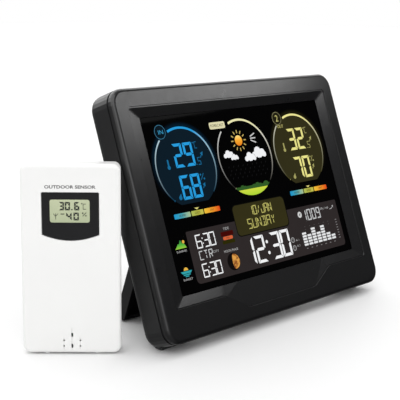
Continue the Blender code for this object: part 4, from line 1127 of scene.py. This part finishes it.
class STATION_OT_pictures(bpy.types.Operator):
    """Adds the forecast picture, the comfort bars, the moon, the tide box and the sunrise and sunset signs"""

    bl_idname = "station.pictures"
    bl_label = "Pictures"

    def execute(self, context):
        self.add_sun_and_clouds()
        self.add_meadow()
        self.add_comfort_bars()
        self.add_tide_and_moon()
        self.add_sunrise_and_sunset()
        self.add_graph()
        return {"FINISHED"}

    def add_sun_and_clouds(self):
        """The sun with its rays, the wind marks, the clouds with a painted shadow round the front ones, and
        the unlit rain.
        """
        x, y = -2.9, 35.7
        face = disc(x, y, 3.3, 36)
        tones = [[(py - y + 3.3) / 6.6 for px, py in face]]
        stops = [(0.0, (0.80, 0.20, 0.01)), (0.55, (0.95, 0.42, 0.03)), (1.0, (1.0, 0.75, 0.22))]
        sun = graded_print("sun_tint", stops)
        glow("forecast_sun", [face], sun, tones=tones)
        rays = []
        for number in range(12):
            angle = math.radians(30.0 * number)
            rays.append(place_bar(x + 5.7 * math.cos(angle), y + 5.7 * math.sin(angle), PRINT_LAYER, angle))
        pattern = plate_pattern()
        size = (2.1, 0.75, 0.3, 0.026)
        glow_bars(pattern, "forecast_sun_rays", size, (0.55, 0.42, 0.12), rays)
        white = lit_print("cloud_white", (0.88, 0.89, 0.91))
        clouds = self.cloud(-14.6, 25.9, 9.2, 4.6) + self.cloud(12.9, 23.2, 13.0, 7.4)
        glow("forecast_clouds_behind", clouds, white)
        # A grey rim round the front clouds: painted shadow that parts them from the clouds behind.
        shadow = lit_print("cloud_edge", (0.16, 0.16, 0.17))
        near = self.cloud(-10.0, 24.0, 7.3, 4.1) + self.cloud(4.1, 21.8, 10.8, 6.4)
        glow("forecast_cloud_edges", near, shadow, layer=(0.062, 0.064))
        near = self.cloud(-10.0, 24.2, 6.8, 3.6) + self.cloud(4.1, 22.0, 10.2, 5.8)
        glow("forecast_clouds_front", near, white, layer=(0.066, 0.090))
        wind = []
        for x, y, end_x, end_y in ((8.3, 37.3, 12.9, 39.1), (8.1, 36.1, 13.0, 36.1), (8.1, 35.0, 12.8, 33.1)):
            wind.append(stroke((x, y), (end_x, end_y), 0.75))
        glow("forecast_wind", wind, (0.62, 0.62, 0.62))
        drops = []
        for row, height in enumerate((20.0, 17.6, 15.2, 12.8)):
            for column in range(9):
                x = -17.2 + column * 4.3 + (row % 2) * 1.6
                if abs(x) < 18.0:
                    drops.append(place_bar(x, height, PRINT_LAYER, math.radians(62.0)))
        size = (1.3, 0.34, 0.12, 0.02)
        glow_bars(pattern, "forecast_rain", size, (0.012, 0.012, 0.013), drops)

    def cloud(self, x, low, wide, tall):
        """Outline of a cloud: a flat base with round ends under three puffs."""
        puffs = (
            (-0.34, 0.28, 0.16), (-0.07, 0.56, 0.23), (0.24, 0.42, 0.19), (0.36, 0.25, 0.14), (0.0, 0.3, 0.2),
        )
        middle = Vector((x, low + 0.32 * tall))
        points = []
        for step in range(96):
            angle = 2 * math.pi * step / 96
            direction = Vector((math.cos(angle), math.sin(angle)))
            far = 0.0
            for across, high, size in puffs:
                centre = Vector((x + across * wide, low + high * tall)) - middle
                along = centre.dot(direction)
                off = centre.length_squared - along ** 2
                if off < (size * wide) ** 2:
                    far = max(far, along + math.sqrt((size * wide) ** 2 - off))
            point = middle + direction * far
            points.append((point.x, max(low, point.y)))
        return [points]

    def add_meadow(self):
        """Bushes and grass at the foot of the forecast dial."""
        radius = sizes().dial_radius / MM - 0.1
        bushes = (
            (-9.4, 1.9, 1.6), (-7.2, 1.6, 1.0), (1.6, 2.4, 1.2),
            (4.6, 2.2, 1.9), (7.4, 1.6, 1.2), (12.6, 2.6, 2.0),
        )
        top = []
        steps = 96
        for step in range(steps + 1):
            x = -16.2 + 32.4 * step / steps
            height = 6.2
            for middle, width, rise in bushes:
                height = max(height, 6.2 + rise * max(0.0, 1 - ((x - middle) / width) ** 2) ** 0.5)
            edge = FORECAST_MIDDLE - math.sqrt(max(0.0, radius ** 2 - x ** 2)) + 0.05
            top.append((x, max(height, edge)))
        low = 4.8
        half = math.sqrt(radius ** 2 - (FORECAST_MIDDLE - low) ** 2)
        outline = [(half, low)] + list(reversed(top)) + [(-half, low)]
        glow("forecast_bushes", [outline], (0.030, 0.105, 0.020), layer=FILL_LAYER)
        half_angle = math.asin(half / radius)
        arc = disc(0.0, FORECAST_MIDDLE, radius, 40, -math.pi / 2 - half_angle, 2 * half_angle)
        tones = [[(y - FORECAST_MIDDLE + radius) / (low - FORECAST_MIDDLE + radius) for x, y in arc]]
        grass = graded_print("grass_green", [(0.0, (0.40, 0.66, 0.035)), (1.0, (0.62, 0.72, 0.06))])
        glow("forecast_grass", [arc], grass, layer=FILL_LAYER, tones=tones)

    def add_comfort_bars(self):
        """The three-part comfort bars under the side dials, with their pointers."""
        spacing = sizes().dial_spacing / MM
        ramp = [
            (0.0, (0.010, 0.30, 0.60)), (0.17, (0.06, 0.36, 0.42)), (0.33, (0.36, 0.52, 0.30)),
            (0.36, (0.42, 0.50, 0.10)), (0.5, (0.42, 0.42, 0.05)), (0.62, (0.55, 0.52, 0.08)),
            (0.66, (0.85, 0.52, 0.04)), (0.85, (0.85, 0.28, 0.02)), (1.0, (0.72, 0.06, 0.01)),
        ]
        outlines, tones, pointers = [], [], []
        for side in (-1, 1):
            x = side * spacing
            for start, end in ((-19.2, -6.0), (-5.2, 4.7), (5.5, 18.9)):
                shape = pill(x + start, -4.6, x + end, -1.7, 0.5)
                outlines.append(shape)
                tones.append([(px - x + 19.2) / 38.1 for px, py in shape])
            pointers.append([(x - 1.9, -0.1), (x, -1.3), (x + 1.9, -0.1)])
        glow("comfort_bars", outlines, graded_print("comfort_tint", ramp), tones=tones)
        glow("comfort_pointers", pointers, (0.72, 0.66, 0.20))

    def add_tide_and_moon(self):
        """The tide box and the moon disc."""
        for name, low, high, tint in (
            ("tide_high", -20.2, -17.5, (0.055, 0.002, 0.001)),
            ("tide_low", -24.9, -22.8, (0.024, 0.022, 0.001)),
        ):
            glow(name, [[(-38.1, low), (-27.4, low), (-27.4, high), (-38.1, high)]], tint)
        glow("tide_now", [pill(-37.0, -22.5, -28.5, -20.5, 0.9)], (0.66, 0.12, 0.04))
        glow("moon_disc", [disc(-32.8, -36.1, 5.3, 48)], (0.004, 0.003, 0.003))
        lit = disc(-32.2, -36.1, 4.6, 24, -math.pi / 2, math.pi)
        for step in range(1, 12):
            angle = math.pi / 2 - math.pi * step / 12
            lit.append((-32.2 - 1.5 * math.cos(angle), -36.1 + 4.6 * math.sin(angle)))
        moon = Finish("moon_tint", (0.004, 0.004, 0.004), 0.10, Emission_Strength=1.0)
        craters = moon.noise(420.0, 3.0)
        orange = moon.mix(craters.step(0.40, 0.62), (0.25, 0.070, 0.010), (0.72, 0.34, 0.06))
        moon.set("Emission Color", orange)
        glow("moon_lit", [lit], moon.material, layer=TOP_LAYER)

    def add_sunrise_and_sunset(self):
        """The hill with its rising sun and the waves with the setting one."""
        hill = [
            (-76.8, -21.5), (-74.9, -19.6), (-74.0, -18.6), (-73.2, -18.9), (-72.0, -16.7),
            (-71.4, -16.8), (-70.6, -18.9), (-69.8, -18.5), (-68.6, -19.8), (-67.7, -21.5),
        ]
        tones = [[(y + 21.5) / 4.8 for x, y in hill]]
        stops = [(0.0, (0.30, 0.60, 0.05)), (0.4, (0.10, 0.45, 0.05)), (1.0, (0.02, 0.20, 0.05))]
        green = graded_print("hill_green", stops)
        glow("sunrise_hill", [hill], green, tones=tones)
        suns = [disc(-69.5, -17.9, 0.95, 20), disc(-72.5, -34.2, 1.75, 24, 0.0, math.pi)]
        glow("low_suns", suns, (0.80, 0.46, 0.06))
        waves = [[(-76.9, -34.6), (-68.0, -34.6), (-69.2, -36.0), (-75.7, -36.0)],
                 pill(-75.2, -37.0, -69.7, -36.3, 0.3), pill(-74.0, -37.9, -71.0, -37.3, 0.28)]
        glow("sunset_waves", waves, (0.03, 0.36, 0.40))

    def add_graph(self):
        """The pressure graph's blocks, its scale, and the alarm and pressure signs."""
        blocks, ticks, dots = [], [], []
        for column, count in enumerate((5, 4, 6, 4, 6, 3, 2)):
            x = 36.8 + 4.88 * column
            blocks += [place_bar(x, -37.4 + 1.82 * row) for row in range(count)]
            ticks.append(place_bar(x, -39.9))
            dots += [place_bar(x + 2.44, -26.0 - 1.82 * row) for row in range(2)] if column < 6 else []
        ticks += [place_bar(72.2, -26.0 - 1.74 * row) for row in range(8)]
        pattern = plate_pattern()
        size = (3.95, 1.32, 0.12, 0.026)
        glow_bars(pattern, "graph_blocks", size, (0.80, 0.81, 0.82), blocks)
        size = (1.5, 0.5, 0.1, 0.026)
        glow_bars(pattern, "graph_scale", size, (0.22, 0.21, 0.21), ticks)
        size = (0.9, 0.35, 0.1, 0.026)
        glow_bars(pattern, "graph_marks", size, (0.09, 0.085, 0.085), dots)
        alarms = (-32.4, -37.6)
        glow("alarm_bells", [disc(24.5, y, 1.75, 24) for y in alarms], (0.36, 0.36, 0.36))
        inner = [disc(24.5, y, 1.25, 24) for y in alarms]
        glow("alarm_bell_fields", inner, (0.040, 0.034, 0.035), layer=(0.062, 0.070))
        hands = [stroke((24.5, y - 0.1), (24.5, y + 0.9), 0.3) for y in alarms]
        hands += [stroke((24.4, y), (25.3, y), 0.3) for y in alarms]
        glow("alarm_bell_hands", hands, (0.36, 0.36, 0.36), layer=(0.072, 0.090))
        glow("pressure_sign", [disc(37.1, -17.7, 2.0, 28)], (0.62, 0.62, 0.62))
        needle = [stroke((36.6, -18.4), (37.9, -16.7), 0.45), disc(37.1, -17.7, 0.5, 12)]
        glow("pressure_needle", needle, (0.03, 0.03, 0.03), layer=TOP_LAYER)
        arrow = [stroke((68.6, -18.3), (71.0, -18.0), 0.4), stroke((70.9, -18.1), (72.6, -16.7), 0.4)]
        arrow += [[(73.2, -16.1), (71.6, -16.4), (72.7, -17.7)]]
        glow("pressure_trend", arrow, (0.42, 0.42, 0.42))


class STATION_OT_labels(bpy.types.Operator):
    """Adds the small plain words of the display"""

    bl_idname = "station.labels"
    bl_label = "Labels"

    def execute(self, context):
        spacing = sizes().dial_spacing / MM
        cream = [pill(-25.6, 44.6, -11.8, 48.9, 1.1)]
        glow("forecast_label_field", cream, (0.72, 0.68, 0.42))
        dark = lit_print("label_dark", (0.05, 0.045, 0.02))
        words = [("FORECAST", -18.7, 46.75, 1.7, 11.4)]
        for side in (-1, 1):
            x = side * spacing
            for text, across, wide in (("HUMID", -12.6, 5.2), ("GOOD", -0.25, 4.4), ("DRY", 12.2, 3.4)):
                words.append((text, x + across, -3.15, 1.3, wide))
        words += [("MID", -32.75, -21.5, 0.9, 2.6)]
        glow_words("dark_labels", words, dark)
        blue = lit_print("badge_blue", (0.04, 0.30, 0.52))
        glow_words("indoor_label", [("IN", -spacing - 14.0, DIAL_MIDDLE + 22.3, 2.4, 3.9)], blue)
        yellow = lit_print("badge_yellow", (0.58, 0.54, 0.18))
        words = [("2", spacing - 14.5, DIAL_MIDDLE + 22.4, 4.2, 2.6)]
        words += [("OUT", spacing - 12.8, DIAL_MIDDLE + 16.9, 2.0, 5.8)]
        glow_words("outdoor_label", words, yellow)
        grey = lit_print("label_grey", (0.42, 0.42, 0.42))
        words = [
            ("TIDE", -32.7, -15.8, 1.5, 5.0), ("MOON PHASE", -32.7, -29.2, 1.5, 12.2),
            ("CITY", -45.3, -27.6, 1.4, 5.0), ("SUNRISE", -72.3, -23.1, 1.2, 8.2),
            ("SUNSET", -72.4, -39.4, 1.2, 7.6), ("hPa / mb", 63.2, -16.9, 1.6, 8.8),
            ("AL 1", 28.8, -33.1, 1.2, 3.2), ("AL 2", 28.8, -36.7, 1.2, 3.2),
        ]
        glow_words("grey_labels", words, grey)
        return {"FINISHED"}


class STATION_OT_sensor_print(bpy.types.Operator):
    """Adds the sensor's segment readings, its frame lines and the words above its window"""

    bl_idname = "station.sensor_print"
    bl_label = "Sensor printing"

    def execute(self, context):
        shell = sensor_place("sensor_front_shell")
        top = (reach("sensor_front_shell", SENSOR_UP)[1] - shell.translation.z) / MM
        window = sensor_place("sensor_window")
        window.translation.z = shell.translation.z
        place = window @ Matrix.Translation((-0.3, top - 25.7, 0.0))
        plate, glass = pill(-10.75, -6.3, 10.75, 6.3, 1.2), self.segment_glass()
        plates("sensor_display", [plate], FILL_LAYER, place, glass, "sensor")
        ink = Finish("segment_ink", (0.014, 0.016, 0.014), 0.35)
        ink.set("Base Color", ink.mix(ink.noise(500.0), (0.010, 0.012, 0.010), (0.022, 0.025, 0.022)))
        shapes = reading("306", (-5.8, -2.6, 2.4), 0.45, 2.8, 4.6, 0.92)
        shapes += reading("40", (-1.9, 2.0), -5.1, 2.9, 4.35, 0.9)
        shapes += [disc(1.2, 0.85, 0.42, 12), disc(6.6, 4.2, 0.36, 12)]
        shapes += reading("C", (7.1,), 0.9, 1.9, 3.2, 0.36)
        shapes += [stroke((6.9, -2.8), (8.9, -0.7), 0.36)]
        shapes += [disc(7.0, -1.1, 0.42, 12), disc(8.7, -2.5, 0.42, 12)]
        shapes += [stroke((-5.0, -1.6), (-2.9, -1.6), 0.5), stroke((-7.6, -4.6), (-7.6, -1.3), 0.3)]
        shapes += [stroke((-8.9, -1.4), (-7.6, -2.9), 0.26), stroke((-6.3, -1.4), (-7.6, -2.9), 0.26)]
        plates("sensor_readings", shapes, PRINT_LAYER, place, ink.material, "sensor")
        words = [("OUTDOOR SENSOR", 0.0, 0.0, 1.8, 27.5)]
        spot = shell @ Matrix.Translation((0.0, top - 12.4, 0.0))
        black = Finish("print_grey", (0.03, 0.03, 0.032), 0.4)
        black.set("Base Color", black.mix(black.noise(600.0), (0.025, 0.025, 0.027), (0.04, 0.04, 0.042)))
        printed_words("sensor_words", words, FILL_LAYER, spot, black.material, "sensor", 0.022)
        return {"FINISHED"}

    def segment_glass(self):
        """Grey-green glass of a reflective display, with painted shade that makes it a little darker towards
        its lower edge.
        """
        finish = Finish("segment_glass", (0.48, 0.53, 0.34), 0.25)
        height = finish.parts(finish.position())[2]
        low, high = reach("sensor_lcd", SENSOR_UP)
        share = (height - low) / (high - low)
        # Painted shade: the glass is darker towards its lower edge.
        finish.set("Base Color", finish.mix(share.clamped(), (0.42, 0.47, 0.30), (0.52, 0.56, 0.37)))
        finish.set("Roughness", 0.18 + finish.noise(400.0) * 0.1)
        return finish.material


class STATION_OT_screws(bpy.types.Operator):
    """Gives both units rounder screws, each with a cross recess"""

    bl_idname = "station.screws"
    bl_label = "Screws"

    def execute(self, context):
        tree = screw_pattern()
        steel = plated_metal("screw_steel", (0.46, 0.46, 0.48), 0.30)
        groups = (
            ("rear_screw", 6, "console", (BACK_RIGHT, FACE_UP, BACK_OUT), 1.7, 0.5),
            ("sensor_screw", 4, "sensor", (-SENSOR_RIGHT, SENSOR_UP, -SENSOR_OUT), 1.1, 0.4),
        )
        for start, count, body, directions, tall, width in groups:
            names = [f"{start}_{number + 1}" for number in range(count)]
            right, up, out = directions
            place = face_place(names[0], right, up, out, 0.0)
            back = place.inverted()
            points = []
            for number, name in enumerate(names):
                spot = back @ face_place(name, right, up, out, 0.0).translation
                points.append((spot.x, spot.y, 0.0, 0.7 + 1.9 * number))
            low, high = reach(names[0], up)
            ends = reach(names[0], out)
            radius = (high - low) / 2 / MM
            values = {
                "Head radius": radius, "Head height": tall, "Shank radius": radius * 0.48,
                "Length": (ends[1] - ends[0]) / MM, "Recess width": width,
            }
            piece = tree.bake(start + "s", values, steel, place, body, "screw", points)
            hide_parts(*names)
        return {"FINISHED"}


class STATION_OT_rear_print(bpy.types.Operator):
    """Adds the plain signs on the keys and beside the socket"""

    bl_idname = "station.rear_print"
    bl_label = "Rear signs"

    def execute(self, context):
        ink = Finish("rear_print_grey", (0.32, 0.32, 0.33), 0.45)
        ink.set("Base Color", ink.mix(ink.noise(900.0), (0.26, 0.26, 0.27), (0.38, 0.38, 0.39)))
        for number, sign in enumerate(KEY_SIGNS):
            node = f"key_{number + 1}"
            place = face_place(node, BACK_RIGHT, FACE_UP, BACK_OUT, 0.0)
            shapes = getattr(self, sign)()
            plates(f"{node}_sign", shapes, FILL_LAYER, place, ink.material, f"{node}_body")
        socket = face_place("dc_socket", BACK_RIGHT, FACE_UP, BACK_OUT, 0.0)
        back = face_place("rear_cover", BACK_RIGHT, FACE_UP, BACK_OUT, 0.0)
        spot = back.inverted() @ socket.translation
        place = back @ Matrix.Translation((spot.x, spot.y + 9.5, 0.0))
        signs = [stroke((-2.0, 0.6), (2.0, 0.6), 0.35)]
        signs += [stroke((x - 0.45, -0.3), (x + 0.45, -0.3), 0.35) for x in (-1.5, 0.0, 1.5)]
        plates("socket_sign", signs, FILL_LAYER, place, ink.material, "console")
        return {"FINISHED"}

    def mode(self):
        """Three bars, one above the other."""
        return [stroke((-1.4, y), (1.4, y), 0.35) for y in (-0.9, 0.0, 0.9)]

    def up(self):
        """An arrowhead that points up."""
        return [[(-1.3, -0.8), (1.3, -0.8), (0.0, 1.1)]]

    def down(self):
        """An arrowhead that points down."""
        return [[(-1.3, 0.8), (0.0, -1.1), (1.3, 0.8)]]

    def bell(self):
        """A bell with its clapper."""
        dome = disc(0.0, 0.2, 0.9, 14, 0.0, math.pi)
        return [dome + [(-1.3, -0.8), (1.3, -0.8)], disc(0.0, -1.2, 0.3, 12)]

    def wave(self):
        """A dot with two arcs, for the radio search."""
        signs = [disc(-1.2, -1.0, 0.35, 12)]
        for radius in (1.2, 2.1):
            outer = disc(-1.2, -1.0, radius + 0.15, 12, 0.1, math.pi / 2 - 0.2)
            inner = disc(-1.2, -1.0, radius - 0.15, 12, 0.1, math.pi / 2 - 0.2)
            signs.append(outer + list(reversed(inner)))
        return signs

    def light(self):
        """A disc with eight rays."""
        signs = [disc(0.0, 0.0, 0.6, 20)]
        for number in range(8):
            way = Vector((math.cos(number * math.pi / 4), math.sin(number * math.pi / 4)))
            signs.append(stroke(way * 0.95, way * 1.5, 0.25))
        return signs

    def memory(self):
        """A column of bars of growing height."""
        tops = ((-1.1, -0.3), (-0.35, 0.2), (0.4, 0.7), (1.15, 1.2))
        return [pill(x - 0.25, -1.1, x + 0.25, high, 0.1) for x, high in tops]


class STATION_PT_panel(bpy.types.Panel):
    """Lists the station's settings and builders"""

    bl_idname = "STATION_PT_panel"
    bl_label = "Weather station"
    bl_space_type = "VIEW_3D"
    bl_region_type = "UI"
    bl_category = "Weather station"

    def draw(self, context):
        for group in (context.scene.station_sizes, context.scene.station_colours):
            for name in group.__annotations__:
                self.layout.prop(group, name)
        for operator in OPERATORS:
            self.layout.operator(operator.bl_idname)


OPERATORS = (
    STATION_OT_stage,
    STATION_OT_mouldings,
    STATION_OT_fittings,
    STATION_OT_panels,
    STATION_OT_rings,
    STATION_OT_readings,
    STATION_OT_pictures,
    STATION_OT_labels,
    STATION_OT_sensor_print,
    STATION_OT_screws,
    STATION_OT_rear_print,
)
CLASSES = (StationSizes, StationColours, *OPERATORS, STATION_PT_panel)


def register():
    """Registers the classes and their settings."""
    for item in CLASSES:
        bpy.utils.register_class(item)
    bpy.types.Scene.station_sizes = bpy.props.PointerProperty(type=StationSizes)
    bpy.types.Scene.station_colours = bpy.props.PointerProperty(type=StationColours)


def unregister():
    """Removes the settings and the classes."""
    del bpy.types.Scene.station_colours
    del bpy.types.Scene.station_sizes
    for item in reversed(CLASSES):
        bpy.utils.unregister_class(item)


def main():
    """Registers the add-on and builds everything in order."""
    register()
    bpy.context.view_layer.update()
    for operator in OPERATORS:
        group, name = operator.bl_idname.split(".")
        getattr(getattr(bpy.ops, group), name)()


if __name__ == "__main__":
    main()
